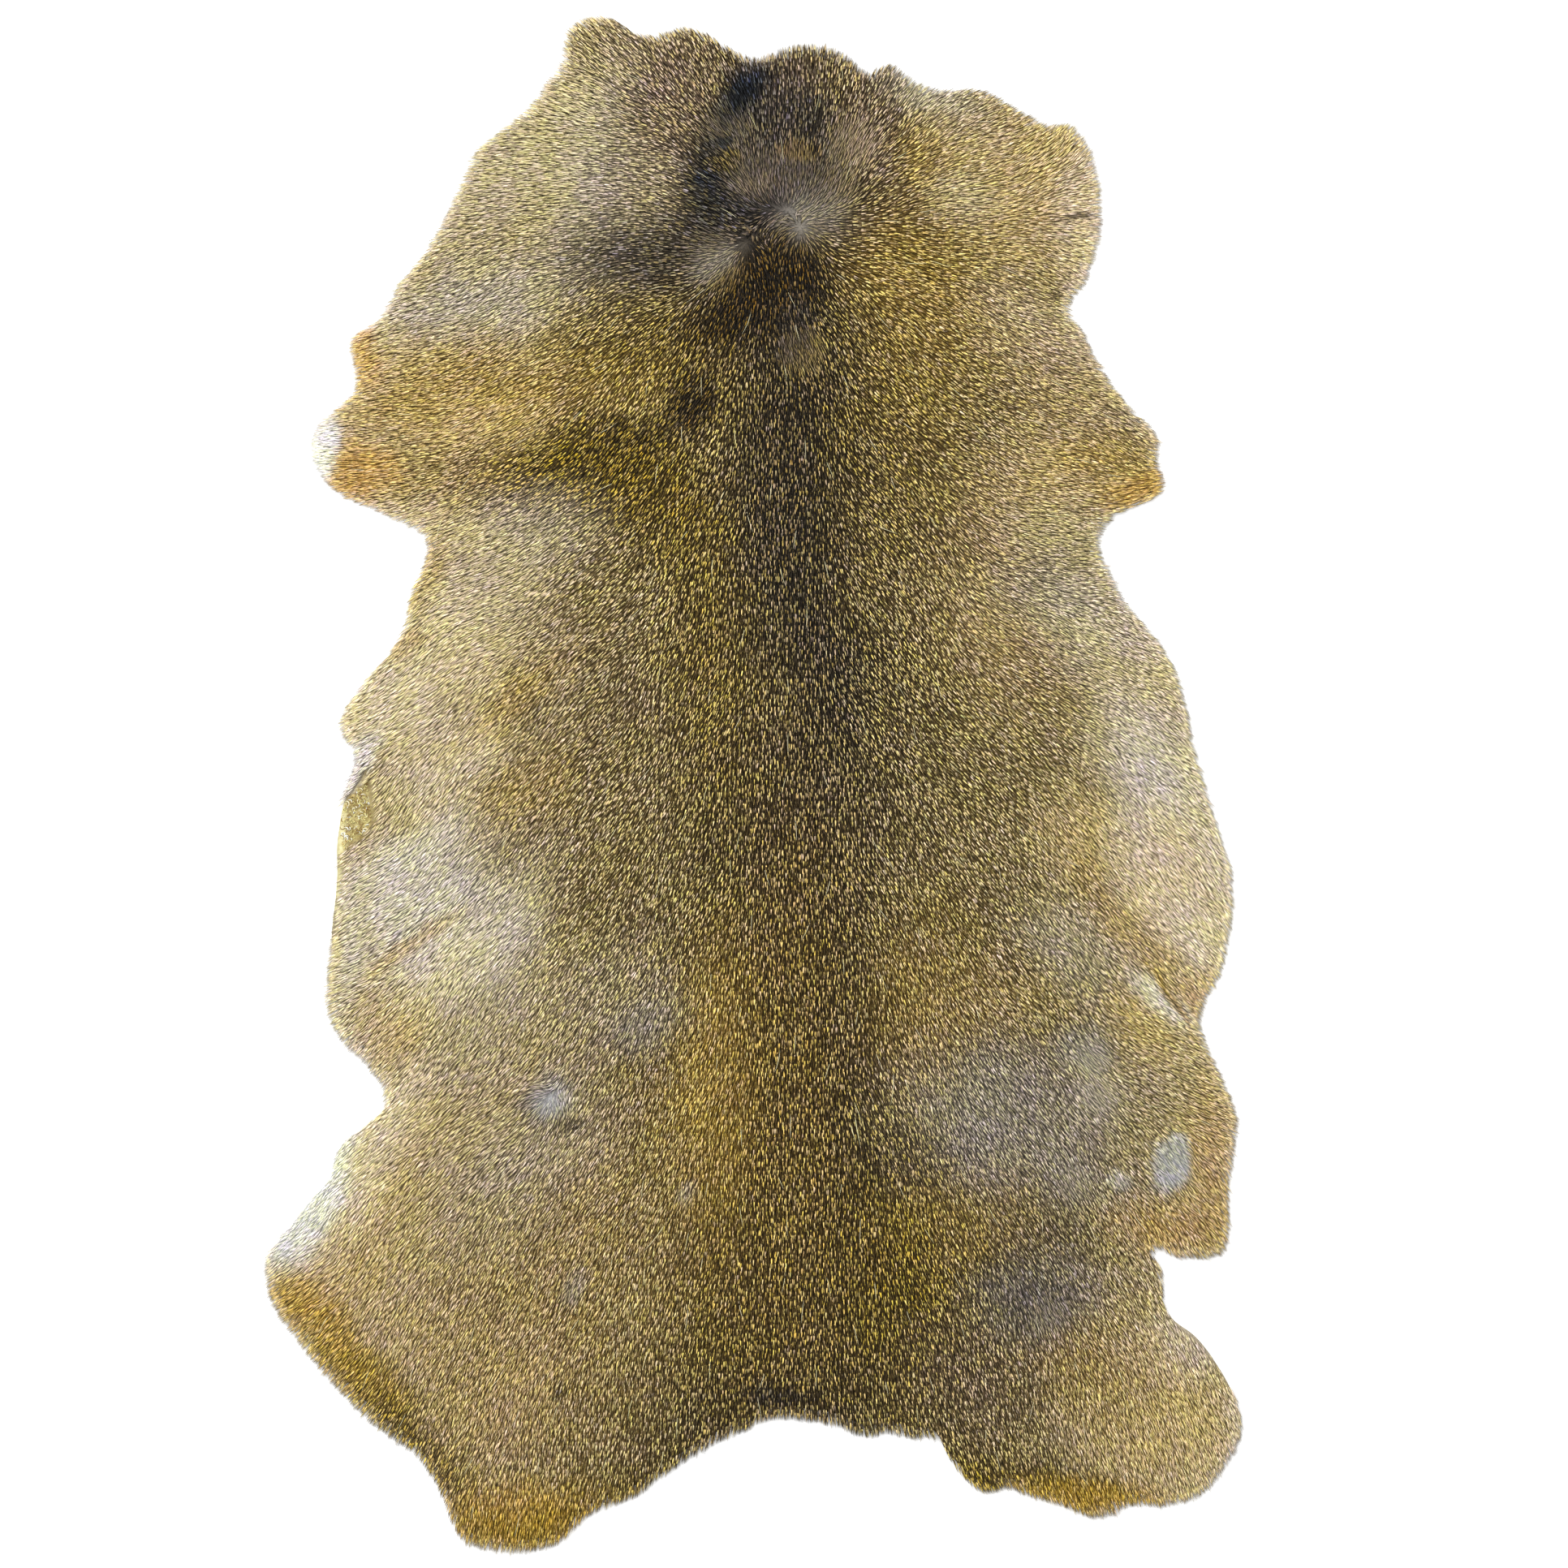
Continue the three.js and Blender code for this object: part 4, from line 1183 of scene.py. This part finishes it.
@functools.cache
def coat_material():
    """The short banded coat."""
    return hair_material("coat_hair", 0.05)


@functools.cache
def strand_material():
    """Long single hairs, pale along their length."""
    return hair_material("long_hair", 0.1)


def undercoat_material(colours):
    """The skin's hair side: dense under-hair, and rough bare skin where the hair is gone."""
    material, shading = blank_material("undercoat")
    place = shading.place()
    dim = shading.span(shading.noise(place, 900.0, 3.0, 0.7), 0.3, 0.7, 0.6, 1.15)
    hair = shading.mixed(1.0, shading.attribute("ground"), shading.grey(dim), "MULTIPLY")
    grain = shading.noise(place, 300.0, 5.0, 0.7)
    patches = shading.mottle(place, 90.0)
    brown = shading.mixed(patches, (*colours.bare_skin, 1), (*colours.bare_skin_pale, 1))
    # Painted shade: the bare skin is darkened in spots by its grain noise, standing for the shade in its
    # hollows
    skin = shading.mixed(shading.span(grain, 0.42, 0.6, 0.0, 0.75), brown, (*BARE_PAINTED_SHADE, 1))
    pale = shading.mixed(shading.span(grain, 0.35, 0.65, 0.0, 0.6), (*colours.bare_edge, 1), brown)
    edged = shading.mixed(shading.attribute("strip", "Fac"), skin, pale)
    colour = shading.mixed(shading.attribute("bare", "Fac"), hair, edged)
    rough = shading.span(grain, 0.3, 0.7, 0.92, 0.66)
    shading.finish(colour, rough, shading.bump(0.8, 0.8 * MM, grain), {"Specular IOR Level": 0.2})
    return material


def flesh_material(colours):
    """The skin's flesh side and cut edge: pale brushed suede."""
    material, shading = blank_material("flesh_side")
    place = shading.place()
    nap = shading.noise(place, 1500.0, 3.0, 0.7)
    cloud = shading.mixed(shading.mottle(place, 16.0), (*colours.flesh, 1), (*colours.flesh_dark, 1))
    given = {"Vector": place, "Scale": 28.0}
    veins = shading.add("ShaderNodeTexVoronoi", {"feature": "DISTANCE_TO_EDGE"}, given).outputs[0]
    veined = shading.mixed(shading.span(veins, 0.0, 0.05, 0.16, 0.0), cloud, (*VEIN, 1))
    colour = shading.mixed(shading.span(nap, 0.3, 0.7, 0.0, 0.3), veined, (*NAP_TIPS, 1))
    rough = shading.span(nap, 0.3, 0.7, 0.95, 0.78)
    values = {"Specular IOR Level": 0.2, "Sheen Weight": 0.2}
    shading.finish(colour, rough, shading.bump(0.5, 0.3 * MM, nap), values)
    return material


def shred_material():
    """Curled shreds of torn skin, in their own tones."""
    material, shading = blank_material("torn_skin")
    grain = shading.noise(shading.place(), 1400.0, 3.0, 0.6)
    light, ground = shading.attribute("light"), shading.attribute("ground")
    colour = shading.mixed(shading.span(grain, 0.35, 0.65, 0.0, 0.6), light, ground)
    rough = shading.span(grain, 0.3, 0.7, 0.5, 0.8)
    shading.finish(colour, rough, shading.bump(0.5, 0.3 * MM, grain), {"Specular IOR Level": 0.35})
    return material


def floor_material(stage):
    """A plain pale floor."""
    material, shading = blank_material("floor")
    grain = shading.noise(shading.place(), 6.0, 2.0)
    dimmer = 0.99 * np.array(stage.floor)
    colour = shading.mixed(shading.span(grain, 0.3, 0.7, 0.0, 1.0), (*stage.floor, 1), (*dimmer, 1))
    shading.finish(colour, 0.9, None, {"Specular IOR Level": 0.1})
    return material


# Sizes and colours that a user would change


class HideSizes(bpy.types.PropertyGroup):
    """Sizes of the skin and of its hair."""

    skin_thickness: bpy.props.FloatProperty(
        name="Skin thickness",
        description="Thickness of the tanned skin under the hair",
        default=0.0015,
        min=0.0005,
        max=0.004,
        unit="LENGTH",
    )
    skin_cell: bpy.props.FloatProperty(
        name="Skin cell",
        description="Side of the squares that the skin's sheet is cut into",
        default=0.006,
        min=0.003,
        max=0.02,
        unit="LENGTH",
    )
    lock_length: bpy.props.FloatProperty(
        name="Lock length",
        description="Typical length of a lock, seen from above",
        default=0.0118,
        min=0.004,
        max=0.04,
        unit="LENGTH",
    )
    lock_width: bpy.props.FloatProperty(
        name="Lock width",
        description="Typical width of a lock at its middle",
        default=0.0009,
        min=0.0004,
        max=0.006,
        unit="LENGTH",
    )
    lock_spacing: bpy.props.FloatProperty(
        name="Lock spacing",
        description="Distance between the roots of neighbouring locks",
        default=0.00188,
        min=0.001,
        max=0.01,
        unit="LENGTH",
    )
    wisp_width: bpy.props.FloatProperty(
        name="Wisp width",
        description="Width of the thin wisps along the rim",
        default=0.0006,
        min=0.0002,
        max=0.003,
        unit="LENGTH",
    )


class HideColours(bpy.types.PropertyGroup):
    """Colours of the skin."""

    flesh: bpy.props.FloatVectorProperty(
        name="Flesh side",
        description="Pale suede of the flesh side",
        default=tuple(linear((222, 208, 180))),
        subtype="COLOR",
        min=0,
        max=1,
    )
    flesh_dark: bpy.props.FloatVectorProperty(
        name="Flesh side, darker",
        description="Darker clouds of the flesh side",
        default=tuple(linear((196, 176, 142))),
        subtype="COLOR",
        min=0,
        max=1,
    )
    bare_skin: bpy.props.FloatVectorProperty(
        name="Bare skin",
        description="Rough skin where the hair is gone",
        default=tuple(linear((142, 126, 70))),
        subtype="COLOR",
        min=0,
        max=1,
    )
    bare_skin_pale: bpy.props.FloatVectorProperty(
        name="Bare skin, pale",
        description="Paler parts of the bare skin",
        default=tuple(linear((188, 176, 122))),
        subtype="COLOR",
        min=0,
        max=1,
    )
    bare_edge: bpy.props.FloatVectorProperty(
        name="Bare skin, edge",
        description="Pale strip of bare skin along the cut edge",
        default=tuple(linear((214, 207, 162))),
        subtype="COLOR",
        min=0,
        max=1,
    )
    long_hair: bpy.props.FloatVectorProperty(
        name="Long hairs",
        description="Single long hairs that stand over the coat",
        default=tuple(linear((238, 232, 214))),
        subtype="COLOR",
        min=0,
        max=1,
    )


class HideStage(bpy.types.PropertyGroup):
    """The floor, the lights and the camera."""

    floor: bpy.props.FloatVectorProperty(
        name="Floor",
        description="Colour of the plain floor",
        default=(0.94, 0.94, 0.94),
        subtype="COLOR",
        min=0,
        max=1,
    )
    light_power: bpy.props.FloatProperty(
        name="Light power",
        description="Power of the large soft light over the hide",
        default=150.0,
        min=0,
        unit="POWER",
    )
    sky_strength: bpy.props.FloatProperty(
        name="Sky strength",
        description="Strength of the pale surroundings",
        default=0.5,
        min=0,
    )
    camera_height: bpy.props.FloatProperty(
        name="Camera height",
        description="Height of the camera over the floor",
        default=6.0,
        min=1,
        unit="LENGTH",
    )


# Pieces

SKIN_STATIONS = 5 * MM  # between the points of the skin's cut edge
EDGE_SMOOTHING = 3 * MM  # of that edge


class DEERHIDE_OT_skin(bpy.types.Operator):
    """Lays the tanned skin, with its under-hair above and its suede below"""

    bl_idname = "deerhide.skin"
    bl_label = "Skin"

    def execute(self, context):
        colours = context.scene.deerhide_colours
        mesh = self.sheet(hide_lie(), context.scene.deerhide_sizes)
        self.paint(mesh)
        mesh.materials.append(undercoat_material(colours))
        mesh.materials.append(flesh_material(colours))
        skin = bpy.data.objects.new("skin", mesh)
        context.scene.collection.objects.link(skin)
        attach(skin, "root")
        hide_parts("hide")
        return {"FINISHED"}

    def sheet(self, lie, sizes):
        """The skin's mesh: cut into cells, given its thickness and lifted where the hide folds."""
        edge = self.cut_edge(lie)
        bm = bmesh.new()
        bm.faces.new([bm.verts.new((x, y, 0)) for x, y in edge])
        for axis in (0, 1):
            first, last = edge[:, axis].min() + sizes.skin_cell / 2, edge[:, axis].max()
            for place in np.arange(first, last, sizes.skin_cell):
                spot, across = [0, 0, 0], [0, 0, 0]
                spot[axis], across[axis] = place, 1
                cut = bm.verts[:] + bm.edges[:] + bm.faces[:]
                bmesh.ops.bisect_plane(bm, geom=cut, dist=1e-5, plane_co=spot, plane_no=across)
        ragged = [f for f in bm.faces if len(f.verts) > 4]
        bmesh.ops.triangulate(bm, faces=ragged)
        bmesh.ops.recalc_face_normals(bm, faces=bm.faces[:])
        if next(iter(bm.faces)).normal.z < 0:
            bmesh.ops.reverse_faces(bm, faces=bm.faces[:])
        grown = bmesh.ops.extrude_face_region(bm, geom=bm.faces[:], use_keep_orig=True)["geom"]
        upper = [g for g in grown if isinstance(g, bmesh.types.BMVert)]
        upper_faces = {g for g in grown if isinstance(g, bmesh.types.BMFace)}
        for vert in bm.verts:
            vert.co.z = float(lie.fold.at(np.array(vert.co.xy)))
        for vert in upper:
            vert.co.z += sizes.skin_thickness
        for face in bm.faces:
            face.material_index = 0 if face in upper_faces else 1
            face.smooth = True
        bmesh.ops.recalc_face_normals(bm, faces=bm.faces[:])
        mesh = bpy.data.meshes.new("skin")
        bm.to_mesh(mesh)
        bm.free()
        return mesh

    def paint(self, mesh):
        """Stores the under-hair's tone on the skin, and where it is bare."""
        places = np.zeros(3 * len(mesh.vertices))
        mesh.vertices.foreach_get("co", places)
        flat = places.reshape(-1, 3)[:, :2]
        light, ground, _ = coat_tones(flat)
        colour_attribute(mesh, "ground", ground + 0.15 * fineness(flat)[:, None] * (light - ground))
        blend = soft_step(1 - distance_to_bare(flat) / BARE_BLEND)
        share_attribute(mesh, "bare", np.where(is_bare(flat), 1.0, blend))
        share_attribute(mesh, "strip", soft_step((BARE_EDGE - pixels_of(flat)[:, 0]) / 5 + 0.5))

    def cut_edge(self, lie):
        """The skin's own cut edge, inside the tips of the hair that lies over it."""
        rim = lie.rim
        outwards = -unit(lie.inwards.at(rim))
        inset = lie.hairline(rim, lie.comb.at(rim))
        # No hair lies over the edge beside the bare strip
        for corner in placed(BARE_STRIP):
            near = np.linalg.norm(rim - corner, axis=1)
            inset = np.where(near < STRIP_CALM, STRIP_INSET, inset)
        inset = smooth_ring(inset, 1, 4)
        edge = rim - outwards * inset[:, None]
        # Where the hide is narrow, the edge stays nearer to the rim
        for _ in range(8):
            tight = lie.depth.at(edge) < 0.85 * inset
            inset = np.where(tight, 0.8 * inset, inset)
            edge = rim - outwards * inset[:, None]
        fine = even_line(edge, EDGE_SMOOTHING)
        return even_line(smooth_line(fine, EDGE_SMOOTHING, EDGE_SMOOTHING), SKIN_STATIONS)


class DEERHIDE_OT_coat(bpy.types.Operator):
    """Grows the short banded coat over the skin, in four bands from the neck to the hind legs"""

    bl_idname = "deerhide.coat"
    bl_label = "Coat"

    def execute(self, context):
        sizes = context.scene.deerhide_sizes
        rng = np.random.default_rng(4)
        roots = scattered(sizes.lock_spacing, rng)
        locks = grow_locks(roots, sizes.lock_length, sizes.lock_width, COAT_OVERHANG, rng)
        order = np.argsort(-locks.root[:, 1], kind="stable")
        names = ("coat_neck", "coat_shoulders", "coat_flanks", "coat_hind")
        for name, part in zip(names, np.array_split(order, len(names))):
            if len(part) > MOST_LOCKS:
                raise RuntimeError(f"{name} has {len(part)} locks; widen the lock spacing")
            lock_piece(name, some_of(locks, part), coat_material())
        return {"FINISHED"}


class DEERHIDE_OT_wisps(bpy.types.Operator):
    """Adds thin wisps along the rim, where the coat's tips pass the edge"""

    bl_idname = "deerhide.wisps"
    bl_label = "Rim wisps"

    def execute(self, context):
        sizes = context.scene.deerhide_sizes
        lie = hide_lie()
        rng = np.random.default_rng(9)
        roots = scattered(WISP_SPACING, rng)
        depth = lie.depth.at(roots)
        roots = roots[(depth > 0) & (depth < WISP_ROOTS)]
        locks = grow_locks(roots, WISP_LONGER * sizes.lock_length, sizes.wisp_width, WISP_OVERHANG, rng)
        wisps = some_of(locks, lie.depth.at(locks.tip) < WISP_TIPS)
        wisps.ground = wisps.light
        lock_piece("rim_wisps", wisps, coat_material())
        return {"FINISHED"}


class DEERHIDE_OT_long_hairs(bpy.types.Operator):
    """Adds the single long hairs that lie over the coat"""

    bl_idname = "deerhide.long_hairs"
    bl_label = "Long hairs"

    def execute(self, context):
        colours = context.scene.deerhide_colours
        lie = hide_lie()
        rng = np.random.default_rng(21)
        named = placed([row[:2] for row in LONG_WHITE_HAIRS])
        spare = scattered(LONG_HAIR_SPACING, rng)
        spare = spare[(lie.depth.at(spare) > 20 * MM) & ~is_bare(spare)]
        roots = np.vstack([named, spare])
        white = [row[2] * M_PER_PIXEL for row in LONG_WHITE_HAIRS]
        lengths = np.concatenate([white, rng.uniform(*LONG_HAIR_LENGTHS, len(spare)) * MM])
        share = np.linspace(0, 1, 7)
        towards = turned(unit(lie.comb.at(roots)), rng.normal(0, 12, len(roots)))
        bend = rng.normal(0, 0.12, len(roots))
        path = (
            roots[:, None]
            + towards[:, None] * (lengths[:, None] * share)[..., None]
            + left_of(towards)[:, None] * (lengths[:, None] * bend[:, None] * share**2)[..., None]
        )
        floor = lie.skin_top(path)
        depth = lie.top.at(path) - floor
        rise = np.sin(np.minimum(share * 2.2, math.pi / 2))
        height = floor + depth * rise * 1.03 + 0.3 * MM * rise
        paths = np.concatenate([path, height[..., None]], -1)
        radii = np.full((len(roots), 1), LONG_HAIR_RADIUS) * (1 - 0.75 * share**2)[None]
        radii[: len(named)] *= WHITE_THICKER
        light = np.array(colours.long_hair) * rng.uniform(0.75, 1.0, (len(roots), 1))
        strand_piece("long_hairs", paths, radii, light, np.full(len(roots), 0.9), strand_material())
        return {"FINISHED"}


class DEERHIDE_OT_shreds(bpy.types.Operator):
    """Adds the curled shreds of torn skin on the bare patch"""

    bl_idname = "deerhide.shreds"
    bl_label = "Torn shreds"

    def execute(self, context):
        lie = hide_lie()
        rng = np.random.default_rng(17)
        patch, strip = placed(BARE_PATCH), placed(BARE_STRIP)
        low, high = patch.min(0), patch.max(0)
        seeds = rng.uniform(low, high, (1400, 2))
        clear = (distance_to_line(seeds, patch, True) > 2 * MM) & (lie.depth.at(seeds) > 4 * MM)
        seeds = seeds[inside(seeds, patch) & clear][:PATCH_SHREDS]
        low, high = strip.min(0), strip.max(0)
        more = rng.uniform(low, high, (300, 2))
        more = more[inside(more, strip) & (lie.depth.at(more) > 3 * MM)][:STRIP_SHREDS]
        seeds = np.vstack([seeds, more])
        count = len(seeds)
        share = np.linspace(0, 1, 9)
        radius = rng.uniform(0.6, 2.0, count) * MM
        turn = rng.uniform(1.4, 4.4, count)
        start = rng.uniform(0, 2 * math.pi, count)
        angle = start[:, None] + turn[:, None] * share
        ring = np.stack([np.cos(angle), np.sin(angle)], -1) * radius[:, None, None]
        path = seeds[:, None] + ring - ring.mean(1, keepdims=True)
        wave = 0.5 + 0.5 * np.sin(share * 5 + start[:, None])
        height = lie.skin_top(path) + (0.25 + rng.uniform(0.2, 1.6, (count, 1)) * wave) * MM
        paths = np.concatenate([path, height[..., None]], -1)
        taper = np.sin(math.pi * np.clip(share, 0.12, 0.88))
        radii = rng.uniform(0.22, 0.56, (count, 1)) * MM * taper[None]
        tones = linear([tone for tone, _ in SHRED_TONES])
        light = tones[rng.choice(len(tones), count, p=[share for _, share in SHRED_TONES])]
        chance = rng.uniform(0.4, 1, count)
        piece = strand_piece("bare_patch_shreds", paths, radii, light, chance, shred_material(), sides=5)
        return {"FINISHED"}


FLOOR_HALF_SIDE = 12
FLOOR_GAP = 0.3 * MM  # below the hide's flesh side
LIGHT_SIDE = 3.0
LIGHT_PLACE = (-0.7, 0.9, 3.0)


class DEERHIDE_OT_stage(bpy.types.Operator):
    """Sets the floor, the light, the pale surroundings and the camera"""

    bl_idname = "deerhide.stage"
    bl_label = "Stage"

    def execute(self, context):
        scene = context.scene
        stage = scene.deerhide_stage
        self.floor(scene, stage)
        self.light(scene, stage)
        self.surroundings(scene, stage)
        self.camera(scene, stage)
        scene.view_settings.view_transform = "Standard"
        scene.view_settings.look = "None"
        return {"FINISHED"}

    def floor(self, scene, stage):
        """A wide floor just under the hide."""
        bm = bmesh.new()
        bmesh.ops.create_grid(bm, x_segments=2, y_segments=2, size=FLOOR_HALF_SIDE)
        bmesh.ops.translate(bm, verts=bm.verts[:], vec=(0, 0, -FLOOR_GAP))
        mesh = bpy.data.meshes.new("floor")
        bm.to_mesh(mesh)
        bm.free()
        mesh.materials.append(floor_material(stage))
        floor = bpy.data.objects.new("floor", mesh)
        scene.collection.objects.link(floor)

    def light(self, scene, stage):
        """One large soft light, from the upper left."""
        lamp = bpy.data.lights.new("soft_light", "AREA")
        lamp.shape = "RECTANGLE"
        lamp.size, lamp.size_y = LIGHT_SIDE, LIGHT_SIDE
        lamp.energy = stage.light_power
        light = bpy.data.objects.new("soft_light", lamp)
        light.location = LIGHT_PLACE
        light.rotation_euler = (-Vector(light.location)).to_track_quat("-Z", "Y").to_euler()
        scene.collection.objects.link(light)

    def surroundings(self, scene, stage):
        """Pale light from all around."""
        world = bpy.data.worlds.new("pale_room")
        world.use_nodes = True
        background = world.node_tree.nodes["Background"]
        background.inputs["Color"].default_value = (1, 1, 1, 1)
        background.inputs["Strength"].default_value = stage.sky_strength
        scene.world = world

    def camera(self, scene, stage):
        """The photo's camera, straight over its middle."""
        seen = PHOTO_SIDE * M_PER_PIXEL
        centre = placed((PHOTO_SIDE / 2, PHOTO_SIDE / 2))
        lens = bpy.data.cameras.new("camera")
        lens.sensor_width = 36
        lens.lens = lens.sensor_width * stage.camera_height / seen
        lens.clip_end = 100
        camera = bpy.data.objects.new("camera", lens)
        camera.location = (centre[0], centre[1], stage.camera_height)
        scene.collection.objects.link(camera)
        scene.camera = camera


class DEERHIDE_PT_panel(bpy.types.Panel):
    """Lists the hide's pieces and sizes"""

    bl_idname = "DEERHIDE_PT_panel"
    bl_label = "Deerhide Rug"
    bl_space_type = "VIEW_3D"
    bl_region_type = "UI"
    bl_category = "Deerhide"

    def draw(self, context):
        for operator in OPERATORS:
            self.layout.operator(operator.bl_idname)
        for group_name, group_class in SETTINGS:
            settings = getattr(context.scene, group_name)
            for name in group_class.__annotations__:
                self.layout.prop(settings, name)


SETTINGS = (("deerhide_sizes", HideSizes), ("deerhide_colours", HideColours), ("deerhide_stage", HideStage))
OPERATORS = (
    DEERHIDE_OT_stage,
    DEERHIDE_OT_skin,
    DEERHIDE_OT_coat,
    DEERHIDE_OT_wisps,
    DEERHIDE_OT_long_hairs,
    DEERHIDE_OT_shreds,
)


def register():
    """Adds the classes and the scene's settings."""
    for name, group_class in SETTINGS:
        bpy.utils.register_class(group_class)
        setattr(bpy.types.Scene, name, bpy.props.PointerProperty(type=group_class))
    for cls in (*OPERATORS, DEERHIDE_PT_panel):
        bpy.utils.register_class(cls)


def unregister():
    """Takes them away again."""
    for cls in (DEERHIDE_PT_panel, *reversed(OPERATORS)):
        bpy.utils.unregister_class(cls)
    for name, group_class in reversed(SETTINGS):
        delattr(bpy.types.Scene, name)
        bpy.utils.unregister_class(group_class)


def declare_sheet():
    """Works out the area inside the hide's laid rim."""
    rim = hide_lie().rim
    ends = np.roll(rim, -1, axis=0)
    area = float((rim[:, 0] * ends[:, 1] - ends[:, 0] * rim[:, 1]).sum() / 2)


def main():
    """Builds every piece."""
    register()
    bpy.ops.deerhide.stage()
    bpy.ops.deerhide.skin()
    bpy.ops.deerhide.coat()
    bpy.ops.deerhide.wisps()
    bpy.ops.deerhide.long_hairs()
    bpy.ops.deerhide.shreds()
    declare_sheet()


if __name__ == "__main__":
    main()
